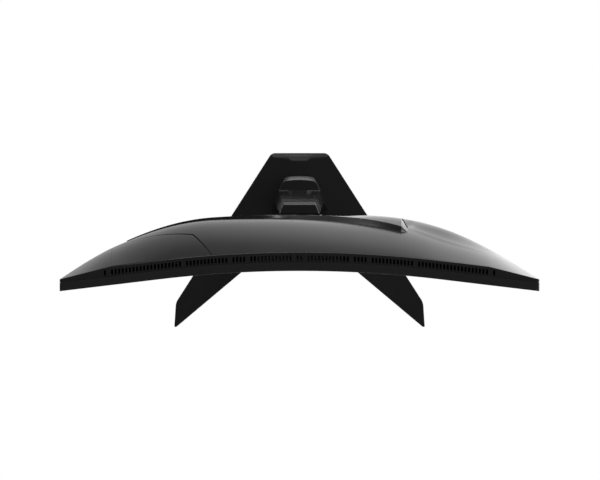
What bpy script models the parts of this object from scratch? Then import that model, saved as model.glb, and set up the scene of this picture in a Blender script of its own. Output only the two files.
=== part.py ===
"""Curved desktop monitor on a fixed-height stand with an A-shaped base.

Metres, +Z up. The screen faces -Y, X runs along it, and the origin lies under the middle of the object,
on the surface that the rubber feet rest on.
"""
import math

import bmesh
import bpy
from mathutils import Matrix

GAP = 0.0003                    # clearance between pieces that touch
WELD = 0.00003                  # points closer than this are one

# ---- head: the curved housing and what its front holds
HEAD_WIDTH = 0.6115
HEAD_HEIGHT = 0.366
HEAD_TOP = 0.458
SCREEN_RADIUS = 1.500
ARC_HALF = 0.178                # the front is an arc this far out and runs on straight from there
FRONT_Y = -0.0395               # front edge of the bezel, at the middle
RIM_DEPTH = 0.0236              # the flat rim around the edge, front to back
RIM_END_DEPTH = 0.0153
RIM_TAPER = 0.064               # the rim narrows over this length at each end
HUMP_DEPTH = 0.0717             # front edge to the back of the middle panel
HUMP_HALF = 0.110
HUMP_LEAN = 0.010               # the back gets this much deeper per metre towards -X
END_DEPTH = 0.0162
UPPER_SLOPE = 0.098             # height of the slope between the rim and the flat of the back
LOWER_SLOPE = 0.108
SLOPE_POWER = 1.8
COVER_WALL = 0.0025
COVER_COLUMNS = 34
STATION_SPACE = 0.004
BEZEL_DEPTH = 0.006
BEZEL_WALL = 0.0022
CHIN_HEIGHT = 0.018
PANEL_SET_BACK = 0.001
PANEL_THICK = 0.002
SHEETS_THICK = 0.0008
GUIDE_THICK = 0.003
CHASSIS_WALL = 0.0012
LED_HEIGHT = 0.004
DRIVER_BOARD_HALF = 0.150
DRIVER_BOARD_HEIGHT = 0.014

# ---- vent slots in the top of the rim
SLOT_PITCH = 0.00455
SLOT_WIDTH = 0.002
SLOT_LENGTH = 0.0084
SLOT_SET_BACK = 0.0116          # front edge of the rim to the slots
SLOT_GROUPS = ((0, 0), (2, 13), (15, 18), (20, 31), (33, 52), (54, 54))

# ---- panels on the back
HUMP_PANEL_LEFT = 0.222
HUMP_PANEL_RIGHT = 0.134
STEP_LEFT = 0.0030              # how far the middle panel stands proud at its left end,
STEP_MIDDLE = 0.0050            # in the middle
STEP_RIGHT = 0.0090             # and at its right end
STEP_FADE = 0.022               # the cover comes up to the panel's level over this length
HUMP_PANEL_GAP = 0.0008         # the panel sits on mounting pads, not on the cover's skin
HUMP_PANEL_END_GAP = 0.002
HUMP_PANEL_SLANT = 0.024
HUMP_PANEL_MARGIN = 0.014       # least width of the panel around the stand's opening
WING_THICK = 0.001
WING_SEAM = 0.0005
WING_INNER = 0.112
WING_OUTER = 0.236
WING_SLANT = 0.025
WING_INNER_DROP = 0.047         # top of the head down to the wing's lower edge, at its inner end
WING_OUTER_DROP = 0.078
WING_TOP_DROP = 0.008

# ---- mount, hinge
RECESS_HALF = 0.059             # half-size of the square opening that the stand enters
VESA_HALF = 0.050               # half the hole spacing
VESA_HOLE = 0.0023
VESA_SCREW = 0.0019
VESA_PLATE_HALF = 0.055
VESA_TO_HINGE = 0.0195          # mounting face to the hinge axis
BRACKET_WALL = 0.002
BRACKET_FLANGE = 0.012
HINGE_PLATE_THICK = 0.003
NECK_PLATE_THICK = 0.003
NECK_PLATE_SEAT = 0.002
LUG_CLEARANCE = 0.0015
SHAFT_RADIUS = 0.005
LUG_RADIUS = 0.009
PLATE_LUG_X = 0.0095
NECK_LUG_X = 0.0177
LUG_THICK = 0.0045
LUG_ROOT_HALF = 0.014
NECK_BRACKET_HALF = 0.018
NUT_THICK = 0.006
NUT_RADIUS = 0.0085
SHAFT_HEAD_RADIUS = 0.008
SHAFT_HEAD_THICK = 0.003
SCREW_REACH = 0.006             # how far a mounting screw goes in behind the mounting face
SCREW_HEAD_THICK = 0.0022
OVERLAP = 0.001                 # how far joined shapes run into each other

# ---- stand
NECK_BEHIND_HUMP = 0.0155       # the back of the column's top, behind the middle panel
NECK_LEAN = 0.0173              # how much further back the column is just above the ledge
NECK_DEPTH = 0.0145
NECK_RISE = 0.045               # the column ends this far above the hinge
NECK_WALL = 0.0025
COLUMN_LOW_HALF = 0.0275        # half-width of the column's back face, just above the ledge
COLUMN_TOP_HALF = 0.0200
COLUMN_FLARE = 0.40             # half-width gained for each metre that the column runs forward
FOOT_END_HALF = 0.0192
FOOT_FRONT = 0.040
FOOT_REAR = 0.0845
LEDGE_HEIGHT = 0.0225
LIP_HEIGHT = 0.004
LIP_DEPTH = 0.006
FRONT_COVER_THICK = 0.003
CORE_HALF = 0.0185
CORE_THICK = 0.004
CORE_RISE = 0.024               # the core ends this far above the hinge
CORE_TAIL_HALF = 0.014
FRONT_COVER_DROP = 0.020        # the front cover ends this far below the hinge
FRONT_KNEE = 0.03               # the front face turns down this far above the ledge
NECK_BEVEL = 0.0015
HEXAGON_TOP_SHARE = 0.62
HOLE_HALF = 0.016
HOLE_HEIGHT = 0.032
HOLE_ABOVE_LEDGE = 0.010
GROMMET_WALL = 0.002

# ---- base
BASE_REAR = 0.1150
BASE_FRONT = -0.1150
BASE_REAR_HALF = 0.037
KNEE_Y = -0.0826
KNEE_HALF = 0.1635
TIP_SPLAY = 0.0021              # the feet still widen by this from the knee to the tip
TIP_WIDTH = 0.0028
CROTCH_Y = 0.0217               # where the feet's inner edges would meet
CROTCH_FLAT = 0.014
BASE_CORNER = 0.006
BASE_BOTTOM = 0.0025
BASE_THICK = 0.006
BASE_WALL = 0.0022
STEEL_THICK = 0.003
STEEL_SUNK = 0.0005             # the steel's underside lies this far inside the cover
FACET_RUN = 0.010
FACET_DROP = 0.0015
SCREW_HEAD_GAP = 0.0005
PAD_FROM_TIP = 0.024
PAD_FROM_REAR = 0.017
FOOT_PAD_RADIUS = 0.007
SCREW_Y = 0.070
SCREW_HEAD = 0.011
SCREW_RADIUS = 0.003

# ---- electronics
BOARD_THICK = 0.0016
BOARD_IN_FROM_BACK = 0.0432
PORT_ROOF_DROP = 0.100          # hinge axis down to the roof of the port bay
PORT_BAY = (-0.152, -0.056)
BAY_WALL = 0.002
BAY_UP = 0.016                  # bottom of the head to the bottom of the port bay
BAY_FRONT_ROOM = 0.004
SHEET_WALL = 0.0008
SOCKET_LENGTH = 0.011
SOCKET_BACK = 0.0015
SOCKET_TONGUE_HALF = 0.0006
ROUND_SOCKET_LENGTH = 0.012
MAIN_BOARD_HEIGHT = 0.105
BOARD_SIDE_MARGIN = 0.004
SHIELD_RIM = 0.004
SHIELD_DEPTH = 0.014
POWER_BOARD_X = (0.072, 0.162)
POWER_BOARD_UP = (-0.055, 0.045)        # from the hinge axis
COIL_X = (0.085, 0.105)
COIL_UP = (-0.03, -0.01)
CAPACITOR_PLACE = (0.135, 0.01)
CAPACITOR_RADIUS = 0.006
CABLE_WIDTH = 0.012
CABLE_LEFT_OF_BAY = 0.018
LEAD_X = 0.13
LEAD_RADIUS = 0.0015

# ---- controls
STICK_X = 0.226
STICK_UP = 0.058                # above the bottom of the head
STICK_RADIUS = 0.0055
BUTTON_FROM_END = 0.056
BUTTON_RADIUS = 0.004
BUTTON_PROUD = 0.0008

LENS_FROM_BUTTON = 0.014
LENS_HALF = (0.003, 0.0008)
LENS_UP = 0.005
LENS_SUNK = 0.0006
STICK_OPENING_GAP = 0.003
STICK_PIVOT_DEPTH = 0.012       # outer skin to the stick's pivot
STICK_CAP_ABOVE_PIVOT = 0.0065
STICK_PROUD = 0.003
STICK_STEM_RADIUS = 0.0018
STICK_RING_RADIUS = 0.0040
STICK_RING_BORE = 0.0026
STICK_RING_HALF = 0.001
SWITCH_BORE = 0.0048
SWITCH_HALF = 0.007
BUTTON_SET_BACK = 0.0145        # front edge to the button's centre
BUTTON_FLANGE = 0.0015
BUTTON_TRAVEL_ROOM = 0.0015

# ---- derived sizes
HEAD_HALF = HEAD_WIDTH / 2
HEAD_BOTTOM = HEAD_TOP - HEAD_HEIGHT
AXIS_Z = HEAD_TOP - HEAD_HEIGHT / 2
BASE_TOP = BASE_BOTTOM + BASE_THICK
LEDGE_Z = BASE_TOP + LEDGE_HEIGHT
NECK_TOP = AXIS_Z + NECK_RISE
BACK_Y = FRONT_Y + HUMP_DEPTH
NECK_REAR_TOP = BACK_Y + NECK_BEHIND_HUMP
NECK_REAR_LOW = NECK_REAR_TOP + NECK_LEAN
BOARD_Y = BACK_Y - BOARD_IN_FROM_BACK
TIP_HALF = KNEE_HALF + TIP_SPLAY
TIP_INNER = TIP_HALF - TIP_WIDTH
CHASSIS_FRONT = PANEL_SET_BACK + PANEL_THICK + GAP + SHEETS_THICK + GAP
CHASSIS_BACK = CHASSIS_FRONT + GUIDE_THICK + GAP + CHASSIS_WALL
PORT_ROOF_Z = AXIS_Z - PORT_ROOF_DROP
STICK_Z = HEAD_BOTTOM + STICK_UP
COVER_LOW = [HEAD_BOTTOM + LOWER_SLOPE * step / 6 for step in range(7)]
COVER_HIGH = [HEAD_TOP - UPPER_SLOPE * step / 6 for step in range(6, -1, -1)]


# ------------------------------------------------------------------ curves of the head

def front_edge(x):
    """Y of the bezel's front edge: an arc, then its tangents."""
    reach = min(abs(x), ARC_HALF)
    rise = math.sqrt(SCREEN_RADIUS ** 2 - reach ** 2)
    return FRONT_Y - (SCREEN_RADIUS - rise) - reach / rise * (abs(x) - reach)


def rim_depth(x):
    """Depth of the flat rim, which narrows towards both ends."""
    narrowing = max(0.0, (abs(x) - (HEAD_HALF - RIM_TAPER)) / RIM_TAPER)
    return RIM_DEPTH - (RIM_DEPTH - RIM_END_DEPTH) * narrowing


def hump_depth(x):
    """Greatest depth of the head at x: flat in the middle, falling off as a parabola."""
    outwards = max(0.0, (abs(x) - HUMP_HALF) / (HEAD_HALF - HUMP_HALF))
    return HUMP_DEPTH - (HUMP_DEPTH - END_DEPTH) * outwards ** 2 - HUMP_LEAN * x * (1 - outwards)


def swell(z):
    """How much of the hump is reached at a height: 0 at the rim, 1 on the flat of the back."""
    inwards = min(1.0, (HEAD_TOP - z) / UPPER_SLOPE, (z - HEAD_BOTTOM) / LOWER_SLOPE)
    return 1 - (1 - max(0.0, inwards)) ** SLOPE_POWER


def step_depth(x):
    """Height of the step up to the middle panel, which fades out beyond the panel's ends."""
    reach, end = (HUMP_PANEL_RIGHT, STEP_RIGHT) if x > 0 else (HUMP_PANEL_LEFT, STEP_LEFT)
    outwards = min(1.0, abs(x) / reach)
    fading = max(0.0, (abs(x) - reach - HUMP_PANEL_END_GAP) / STEP_FADE)
    return (STEP_MIDDLE + (end - STEP_MIDDLE) * outwards) * max(0.0, 1 - fading)


def at_depth(depth):
    """Surface at a constant depth behind the front edge."""
    return lambda x, z: front_edge(x) + depth


def cover_surface(sunk=0.0):
    """Outer surface of the rear cover, or a parallel one sunk into it."""
    def surface(x, z):
        swelling = (hump_depth(x) - step_depth(x) - rim_depth(x)) * swell(z)
        return front_edge(x) + rim_depth(x) + max(0.0, swelling) - sunk
    return surface


def neck_rear(z):
    """Y of the column's back face, which leans forward."""
    share = (z - LEDGE_Z) / (NECK_TOP - LEDGE_Z)
    return NECK_REAR_LOW + (NECK_REAR_TOP - NECK_REAR_LOW) * share


def neck_front(z):
    return neck_rear(z) - NECK_DEPTH


def core_front(z):
    """Y of the steel core's front face, behind the front cover."""
    return neck_front(z) + FRONT_COVER_THICK + 2 * GAP


def hinge_y():
    """Y of the tilt axis: its lugs clear the plate that the neck's bracket stands on."""
    return core_front(AXIS_Z) - NECK_PLATE_SEAT - NECK_PLATE_THICK - LUG_CLEARANCE - LUG_RADIUS


def neck_half(y, z, inset=0.0):
    """Half-width of the neck: the column narrows upwards and to the rear, the foot to the rear."""
    height = max(z, LEDGE_Z)
    share = (height - LEDGE_Z) / (NECK_TOP - LEDGE_Z)
    rear = neck_rear(height)
    if y > rear and z <= LEDGE_Z + LIP_HEIGHT:
        along = (y - rear) / (FOOT_REAR - rear)
        return COLUMN_LOW_HALF + (FOOT_END_HALF - COLUMN_LOW_HALF) * along - inset
    rear_half = COLUMN_LOW_HALF + (COLUMN_TOP_HALF - COLUMN_LOW_HALF) * share
    return rear_half + COLUMN_FLARE * (rear - y) - inset


HINGE_Y = hinge_y()
VESA_BACK_Y = HINGE_Y - VESA_TO_HINGE


# ------------------------------------------------------------------ modelling helpers

def spread(low, high, count):
    """count + 1 evenly spaced values."""
    return [low + (high - low) * step / count for step in range(count + 1)]


def make_object(name, bm):
    """Turn a bmesh into a named object with its faces pointing out."""
    bmesh.ops.recalc_face_normals(bm, faces=bm.faces[:])
    mesh = bpy.data.meshes.new(name)
    bm.to_mesh(mesh)
    bm.free()
    obj = bpy.data.objects.new(name, mesh)
    bpy.context.scene.collection.objects.link(obj)
    return obj


def box(name, low, high):
    bm = bmesh.new()
    bmesh.ops.create_cube(bm, size=1.0)
    for vert in bm.verts:
        vert.co = [low[i] + (high[i] - low[i]) * (vert.co[i] + 0.5) for i in range(3)]
    return make_object(name, bm)


def prism(name, outline, axis, low, high):
    """Extrude a flat outline along an axis. The outline lists the other two coordinates in order."""
    bm = bmesh.new()

    def ring(level):
        places = []
        for first, second in outline:
            place = [first, second]
            place.insert("XYZ".index(axis), level)
            places.append(bm.verts.new(place))
        return places

    bottom = ring(low)
    top = ring(high)
    bm.faces.new(bottom)
    bm.faces.new(top)
    for index in range(len(outline)):
        following = (index + 1) % len(outline)
        bm.faces.new((bottom[index], bottom[following], top[following], top[index]))
    return make_object(name, bm)


def rod(name, axis, centre, radius, low, high, sides=20):
    """A round bar along an axis; centre gives the other two coordinates."""
    outline = []
    for step in range(sides):
        angle = 2 * math.pi * step / sides
        outline.append((centre[0] + radius * math.cos(angle), centre[1] + radius * math.sin(angle)))
    obj = prism(name, outline, axis, low, high)
    obj.data.shade_smooth()
    obj.data.set_sharp_from_angle(angle=math.radians(40))
    return obj


def weld(mesh):
    """Merge the points that a Boolean leaves almost on top of each other."""
    bm = bmesh.new()
    bm.from_mesh(mesh)
    bmesh.ops.remove_doubles(bm, verts=bm.verts[:], dist=WELD)
    bmesh.ops.dissolve_degenerate(bm, edges=bm.edges[:], dist=WELD)
    bm.to_mesh(mesh)
    bm.free()


def combine(target, other, operation):
    """Apply a Boolean of one object on another and remove the other."""
    modifier = target.modifiers.new("combine", "BOOLEAN")
    modifier.operation = operation
    modifier.object = other
    modifier.solver = "EXACT"
    bpy.context.view_layer.update()
    graph = bpy.context.evaluated_depsgraph_get()
    mesh = bpy.data.meshes.new_from_object(target.evaluated_get(graph))
    weld(mesh)
    target.modifiers.remove(modifier)
    old = target.data
    target.data = mesh
    mesh.name = target.name
    bpy.data.meshes.remove(old)
    bpy.data.objects.remove(other)
    return target


def cut(target, *cutters):
    for cutter in cutters:
        combine(target, cutter, "DIFFERENCE")
    return target


def join(target, *others):
    for other in others:
        combine(target, other, "UNION")
    return target


def stations(low, high, count, breaks):
    """Evenly spaced values with the breaks put in, leaving out even ones that come close to a break."""
    even = spread(low, high, count)
    inside = [value for value in breaks if low + STATION_SPACE < value < high - STATION_SPACE]
    kept = [value for value in even if all(abs(value - other) > STATION_SPACE for other in inside)]
    return sorted(kept + inside)


def slab(name, x_range, z_values, front, back, columns=28, breaks=()):
    """A solid between two surfaces over a rectangle in X and Z. Only the back follows each height."""
    bm = bmesh.new()
    xs = stations(x_range[0], x_range[1], columns, breaks)
    columns = len(xs) - 1
    ends = (z_values[0], z_values[-1])
    front_grid = [[bm.verts.new((x, front(x, z), z)) for z in ends] for x in xs]
    back_grid = [[bm.verts.new((x, back(x, z), z)) for z in z_values] for x in xs]
    for i in range(columns):
        bm.faces.new((front_grid[i][0], front_grid[i + 1][0], front_grid[i + 1][1], front_grid[i][1]))
        bm.faces.new((front_grid[i][0], back_grid[i][0], back_grid[i + 1][0], front_grid[i + 1][0]))
        bm.faces.new((front_grid[i][1], front_grid[i + 1][1], back_grid[i + 1][-1], back_grid[i][-1]))
        for j in range(len(z_values) - 1):
            near, far = back_grid[i], back_grid[i + 1]
            bm.faces.new((near[j], near[j + 1], far[j + 1], far[j]))
    for i in (0, -1):
        bm.faces.new([front_grid[i][0], *back_grid[i], front_grid[i][1]])
    return make_object(name, bm)


def patch(name, corners, front, back, columns, rows):
    """A plate between two surfaces over a four-cornered region (x, z), corners in order round it."""
    bm = bmesh.new()
    (ax, az), (bx, bz), (cx, cz), (dx, dz) = corners
    grids = ([], [])
    for u in spread(0.0, 1.0, columns):
        for grid in grids:
            grid.append([])
        for v in spread(0.0, 1.0, rows):
            x = (1 - v) * (ax + (bx - ax) * u) + v * (dx + (cx - dx) * u)
            z = (1 - v) * (az + (bz - az) * u) + v * (dz + (cz - dz) * u)
            grids[0][-1].append(bm.verts.new((x, front(x, z), z)))
            grids[1][-1].append(bm.verts.new((x, back(x, z), z)))
    for grid in grids:
        for i in range(columns):
            for j in range(rows):
                bm.faces.new((grid[i][j], grid[i][j + 1], grid[i + 1][j + 1], grid[i + 1][j]))
    near, far = grids
    for i in range(columns):
        for j in (0, -1):
            bm.faces.new((near[i][j], near[i + 1][j], far[i + 1][j], far[i][j]))
    for j in range(rows):
        for i in (0, -1):
            bm.faces.new((near[i][j], near[i][j + 1], far[i][j + 1], far[i][j]))
    return make_object(name, bm)


def neck_prism(name, profile, inset):
    """Extrude a (y, z) profile both ways to the neck's half-width, less an inset."""
    obj = prism(name, profile, "X", -1.0, 1.0)
    bm = bmesh.new()
    bm.from_mesh(obj.data)
    for place, normal in (((0, NECK_REAR_LOW, 0), (0, 1, 0)), ((0, 0, LEDGE_Z), (0, 0, 1))):
        everything = bm.verts[:] + bm.edges[:] + bm.faces[:]
        bmesh.ops.bisect_plane(bm, geom=everything, dist=1e-6, plane_co=place, plane_no=normal)
    for vert in bm.verts:
        vert.co.x *= neck_half(vert.co.y, vert.co.z, inset)
    bm.to_mesh(obj.data)
    bm.free()
    return obj


def lug(name, x_low, x_high, root_y, root_half):
    """A hinge lug: a plate from a root to a rounded end about the hinge axis."""
    side = 1 if root_y > HINGE_Y else -1
    outline = [(root_y, AXIS_Z - root_half)]
    for step in range(11):
        angle = math.pi * step / 10
        across = side * LUG_RADIUS * math.sin(angle)
        outline.append((HINGE_Y - across, AXIS_Z - LUG_RADIUS * math.cos(angle)))
    outline.append((root_y, AXIS_Z + root_half))
    return prism(name, outline, "X", x_low, x_high)


def finish(obj, colour, roughness, metallic=0.0):
    """Give an object its own plain material."""
    material = bpy.data.materials.new(obj.name)
    material.use_nodes = True
    shader = material.node_tree.nodes["Principled BSDF"]
    shader.inputs["Base Color"].default_value = (*colour, 1.0)
    shader.inputs["Roughness"].default_value = roughness
    shader.inputs["Metallic"].default_value = metallic
    obj.data.materials.clear()
    obj.data.materials.append(material)


def plastic(obj):
    finish(obj, (0.012, 0.012, 0.013), 0.55)


def steel(obj):
    finish(obj, (0.45, 0.46, 0.48), 0.35, 1.0)


def board_green(obj):
    finish(obj, (0.01, 0.08, 0.04), 0.5)


# ------------------------------------------------------------------ head

def panel_stack():
    """What the picture is made by: panel, sheets, light guide and its lamps in a steel chassis."""
    panel_half = HEAD_HALF - BEZEL_WALL - GAP
    chin_top = HEAD_BOTTOM + CHIN_HEIGHT
    panel_z = (chin_top + 2 * GAP, HEAD_TOP - BEZEL_WALL - GAP)
    panel_back = PANEL_SET_BACK + PANEL_THICK
    finish(slab("lcd_panel", (-panel_half, panel_half), panel_z, at_depth(PANEL_SET_BACK),
                at_depth(panel_back)), (0.008, 0.008, 0.01), 0.12)

    chassis_half = HEAD_HALF - COVER_WALL - 2 * GAP
    chassis_z = (panel_z[0] + GAP, HEAD_TOP - COVER_WALL - 2 * GAP)
    inner_half = chassis_half - CHASSIS_WALL
    inner_z = (chassis_z[0] + CHASSIS_WALL, chassis_z[1] - CHASSIS_WALL)
    chassis = slab("backlight_chassis", (-chassis_half, chassis_half), chassis_z,
                   at_depth(CHASSIS_FRONT), at_depth(CHASSIS_BACK))
    hollow = slab("cut", (-inner_half, inner_half), inner_z, at_depth(CHASSIS_FRONT - 0.002),
                  at_depth(CHASSIS_BACK - CHASSIS_WALL))
    steel(cut(chassis, hollow))

    sheet_half = chassis_half - CHASSIS_WALL
    sheets_front = panel_back + GAP
    finish(slab("optical_sheets", (-sheet_half, sheet_half), chassis_z, at_depth(sheets_front),
                at_depth(sheets_front + SHEETS_THICK)), (0.85, 0.86, 0.88), 0.3)
    guide_half = inner_half - GAP
    lamp_top = inner_z[0] + GAP + LED_HEIGHT
    guide_back = CHASSIS_FRONT + GUIDE_THICK
    finish(slab("light_guide", (-guide_half, guide_half), (lamp_top + GAP, inner_z[1] - GAP),
                at_depth(CHASSIS_FRONT), at_depth(guide_back)), (0.8, 0.85, 0.88), 0.1)
    finish(slab("led_strip", (-guide_half, guide_half), (inner_z[0] + GAP, lamp_top),
                at_depth(CHASSIS_FRONT), at_depth(guide_back)), (0.9, 0.88, 0.7), 0.4)
    board_low = chassis_z[0] + LED_HEIGHT
    board_green(slab("panel_driver_board", (-DRIVER_BOARD_HALF, DRIVER_BOARD_HALF),
                     (board_low, board_low + DRIVER_BOARD_HEIGHT), at_depth(CHASSIS_BACK + GAP),
                     at_depth(CHASSIS_BACK + GAP + BOARD_THICK)))


def bezel():
    """The thin frame over the top and sides, and the deeper chin under the screen."""
    chin_top = HEAD_BOTTOM + CHIN_HEIGHT
    frame = slab("front_bezel", (-HEAD_HALF, HEAD_HALF), (chin_top + GAP, HEAD_TOP), at_depth(0),
                 at_depth(BEZEL_DEPTH))
    inner = HEAD_HALF - BEZEL_WALL
    hole = slab("cut", (-inner, inner), (chin_top - 0.01, HEAD_TOP - BEZEL_WALL), at_depth(-0.002),
                at_depth(BEZEL_DEPTH + 0.002))
    plastic(cut(frame, hole))
    chin = slab("chin_strip", (-HEAD_HALF, HEAD_HALF), (HEAD_BOTTOM, chin_top), at_depth(0),
                at_depth(BEZEL_DEPTH))
    lens_x = HEAD_HALF - BUTTON_FROM_END + LENS_FROM_BUTTON
    lens_z = HEAD_BOTTOM + LENS_UP
    lens_y = front_edge(lens_x)
    half, high = LENS_HALF
    opening = box("cut", (lens_x - half - GAP, lens_y - BEZEL_DEPTH, lens_z - high - GAP),
                  (lens_x + half + GAP, lens_y + 2 * BEZEL_DEPTH, lens_z + high + GAP))
    plastic(cut(chin, opening))
    light_pipe = box("power_led_lens", (lens_x - half, lens_y + LENS_SUNK, lens_z - high),
                     (lens_x + half, lens_y + BEZEL_DEPTH, lens_z + high))
    finish(light_pipe, (0.8, 0.8, 0.8), 0.2)


def vent_cutters():
    """All the slots in the top of the rim, as one cutter of separate bars."""
    bm = bmesh.new()
    last_x = HEAD_HALF - RIM_TAPER + SLOT_PITCH * 2
    for first, last in SLOT_GROUPS:
        for index in range(first, last + 1):
            x = (index + 0.5) * SLOT_PITCH
            if x > last_x:
                continue
            for side in (-1, 1):
                y = front_edge(x) + SLOT_SET_BACK + SLOT_LENGTH / 2
                place = Matrix.Translation((side * x, y, HEAD_TOP))
                size = Matrix.Diagonal((SLOT_WIDTH, SLOT_LENGTH, COVER_WALL * 3, 1))
                bmesh.ops.create_cube(bm, size=1.0, matrix=place @ size)
    return make_object("cut", bm)


def wing_corners(side, seam=0.0):
    """Corners of a wing panel's outline (x, z), grown by a seam."""
    inner = WING_INNER - seam
    outer = WING_OUTER + seam
    high = HEAD_TOP - WING_TOP_DROP + seam
    corners = [(inner + WING_SLANT, HEAD_TOP - WING_INNER_DROP - seam),
               (outer, HEAD_TOP - WING_OUTER_DROP - seam), (outer, high), (inner, high)]
    return [(side * x, z) for x, z in corners]


def wing_panels(cover):
    for side, name in ((-1, "wing_panel_left"), (1, "wing_panel_right")):
        panel = patch(name, wing_corners(side), cover_surface(WING_THICK), cover_surface(), 8, 3)
        plastic(panel)
        seat = patch("cut", wing_corners(side, WING_SEAM), cover_surface(WING_THICK + WING_SEAM),
                     cover_surface(-0.01), 8, 3)
        cut(cover, seat)


def hump_panel():
    """The raised middle panel, slanted at its right end, with the opening for the stand."""
    frame = RECESS_HALF + HUMP_PANEL_MARGIN
    low = min(HEAD_BOTTOM + LOWER_SLOPE, AXIS_Z - frame)
    high = max(HEAD_TOP - UPPER_SLOPE, AXIS_Z + frame)
    corners = [(HUMP_PANEL_SLANT - HUMP_PANEL_LEFT, low), (HUMP_PANEL_RIGHT - HUMP_PANEL_SLANT, low),
               (HUMP_PANEL_RIGHT, high), (-HUMP_PANEL_LEFT, high)]

    def under_side(x, z):
        return front_edge(x) + hump_depth(x) - step_depth(x) + HUMP_PANEL_GAP

    def top_side(x, z):
        return front_edge(x) + hump_depth(x)

    panel = patch("hump_panel", corners, under_side, top_side, 14, 1)
    opening = box("cut", (-RECESS_HALF, -0.05, AXIS_Z - RECESS_HALF),
                  (RECESS_HALF, 0.1, AXIS_Z + RECESS_HALF))
    plastic(cut(panel, opening))


def rear_cover():
    heights = COVER_LOW + COVER_HIGH
    left_end = HUMP_PANEL_LEFT + HUMP_PANEL_END_GAP
    right_end = HUMP_PANEL_RIGHT + HUMP_PANEL_END_GAP
    breaks = (-left_end - STEP_FADE, -left_end, right_end, right_end + STEP_FADE)
    cover = slab("rear_cover", (-HEAD_HALF, HEAD_HALF), heights, at_depth(BEZEL_DEPTH + GAP),
                 cover_surface(), COVER_COLUMNS, breaks)
    inner_half = HEAD_HALF - COVER_WALL
    inner_heights = [HEAD_BOTTOM + COVER_WALL, *heights[1:-1], HEAD_TOP - COVER_WALL]
    hollow = slab("cut", (-inner_half, inner_half), inner_heights, at_depth(0), cover_surface(COVER_WALL),
                  COVER_COLUMNS, breaks)
    cut(cover, hollow, vent_cutters())
    wing_panels(cover)
    cut(cover, box("cut", (-RECESS_HALF, -0.05, AXIS_Z - RECESS_HALF),
                   (RECESS_HALF, 0.1, AXIS_Z + RECESS_HALF)))
    return cover


def port_bay(cover):
    """A bay in the lower slope, open below and behind, with the sockets in its roof."""
    left, right = PORT_BAY
    low = HEAD_BOTTOM + BAY_UP
    front = BOARD_Y - BOARD_THICK - BAY_FRONT_ROOM
    wall = BAY_WALL
    outer = ((left, front, low), (right, 0.06, PORT_ROOF_Z + wall))
    cut(cover, box("cut", [value - GAP for value in outer[0]],
                   (outer[1][0] + GAP, outer[1][1], outer[1][2] + GAP)))
    bay = box("port_bay", *outer)
    limit = slab("cut", (left - 0.01, right + 0.01), COVER_LOW + COVER_HIGH, at_depth(CHASSIS_BACK),
                 cover_surface(GAP), 6)
    combine(bay, limit, "INTERSECT")
    cut(bay, box("cut", (left + wall, front + wall, low - 0.01), (right - wall, 0.07, PORT_ROOF_Z)))
    return bay


def socket(name, bay, x, width, height, cavity, tongue):
    """A socket shell that faces down through the bay's roof, with its tongue."""
    y = BOARD_Y + BOARD_THICK + GAP + height / 2
    low = (x - width / 2, y - height / 2, PORT_ROOF_Z)
    high = (x + width / 2, y + height / 2, PORT_ROOF_Z + SOCKET_LENGTH)
    cavity_top = high[2] - SOCKET_BACK
    shell = box(name, low, high)
    cut(shell, box("cut", (x - cavity[0] / 2, y - cavity[1] / 2, PORT_ROOF_Z - 0.01),
                   (x + cavity[0] / 2, y + cavity[1] / 2, cavity_top)))
    join(shell, box("add", (x - tongue / 2, y - SOCKET_TONGUE_HALF, PORT_ROOF_Z + SOCKET_BACK),
                    (x + tongue / 2, y + SOCKET_TONGUE_HALF, cavity_top + OVERLAP / 2)))
    steel(shell)
    cut(bay, box("cut", (low[0] - GAP, low[1] - GAP, PORT_ROOF_Z - 0.01),
                 (high[0] + GAP, high[1] + GAP, high[2] + 0.01)))


def round_socket(name, bay, x, side, radius):
    y = BOARD_Y + BOARD_THICK + GAP + side / 2
    top = PORT_ROOF_Z + ROUND_SOCKET_LENGTH
    shell = box(name, (x - side / 2, y - side / 2, PORT_ROOF_Z), (x + side / 2, y + side / 2, top))
    cut(shell, rod("cut", "Z", (x, y), radius, PORT_ROOF_Z - 0.01, top - SOCKET_BACK, 16))
    plastic(shell)
    cut(bay, box("cut", (x - side / 2 - GAP, y - side / 2 - GAP, PORT_ROOF_Z - 0.01),
                 (x + side / 2 + GAP, y + side / 2 + GAP, top + 0.01)))


def sockets(bay):
    left = PORT_BAY[0]
    round_socket("dc_inlet", bay, left + 0.012, 0.0090, 0.0032)
    socket("hdmi_socket_1", bay, left + 0.031, 0.0150, 0.0056, (0.0140, 0.0046), 0.0115)
    socket("hdmi_socket_2", bay, left + 0.051, 0.0150, 0.0056, (0.0140, 0.0046), 0.0115)
    socket("displayport_socket", bay, left + 0.071, 0.0170, 0.0058, (0.0160, 0.0048), 0.0130)
    round_socket("audio_socket", bay, left + 0.087, 0.0064, 0.0018)
    plastic(bay)


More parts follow.
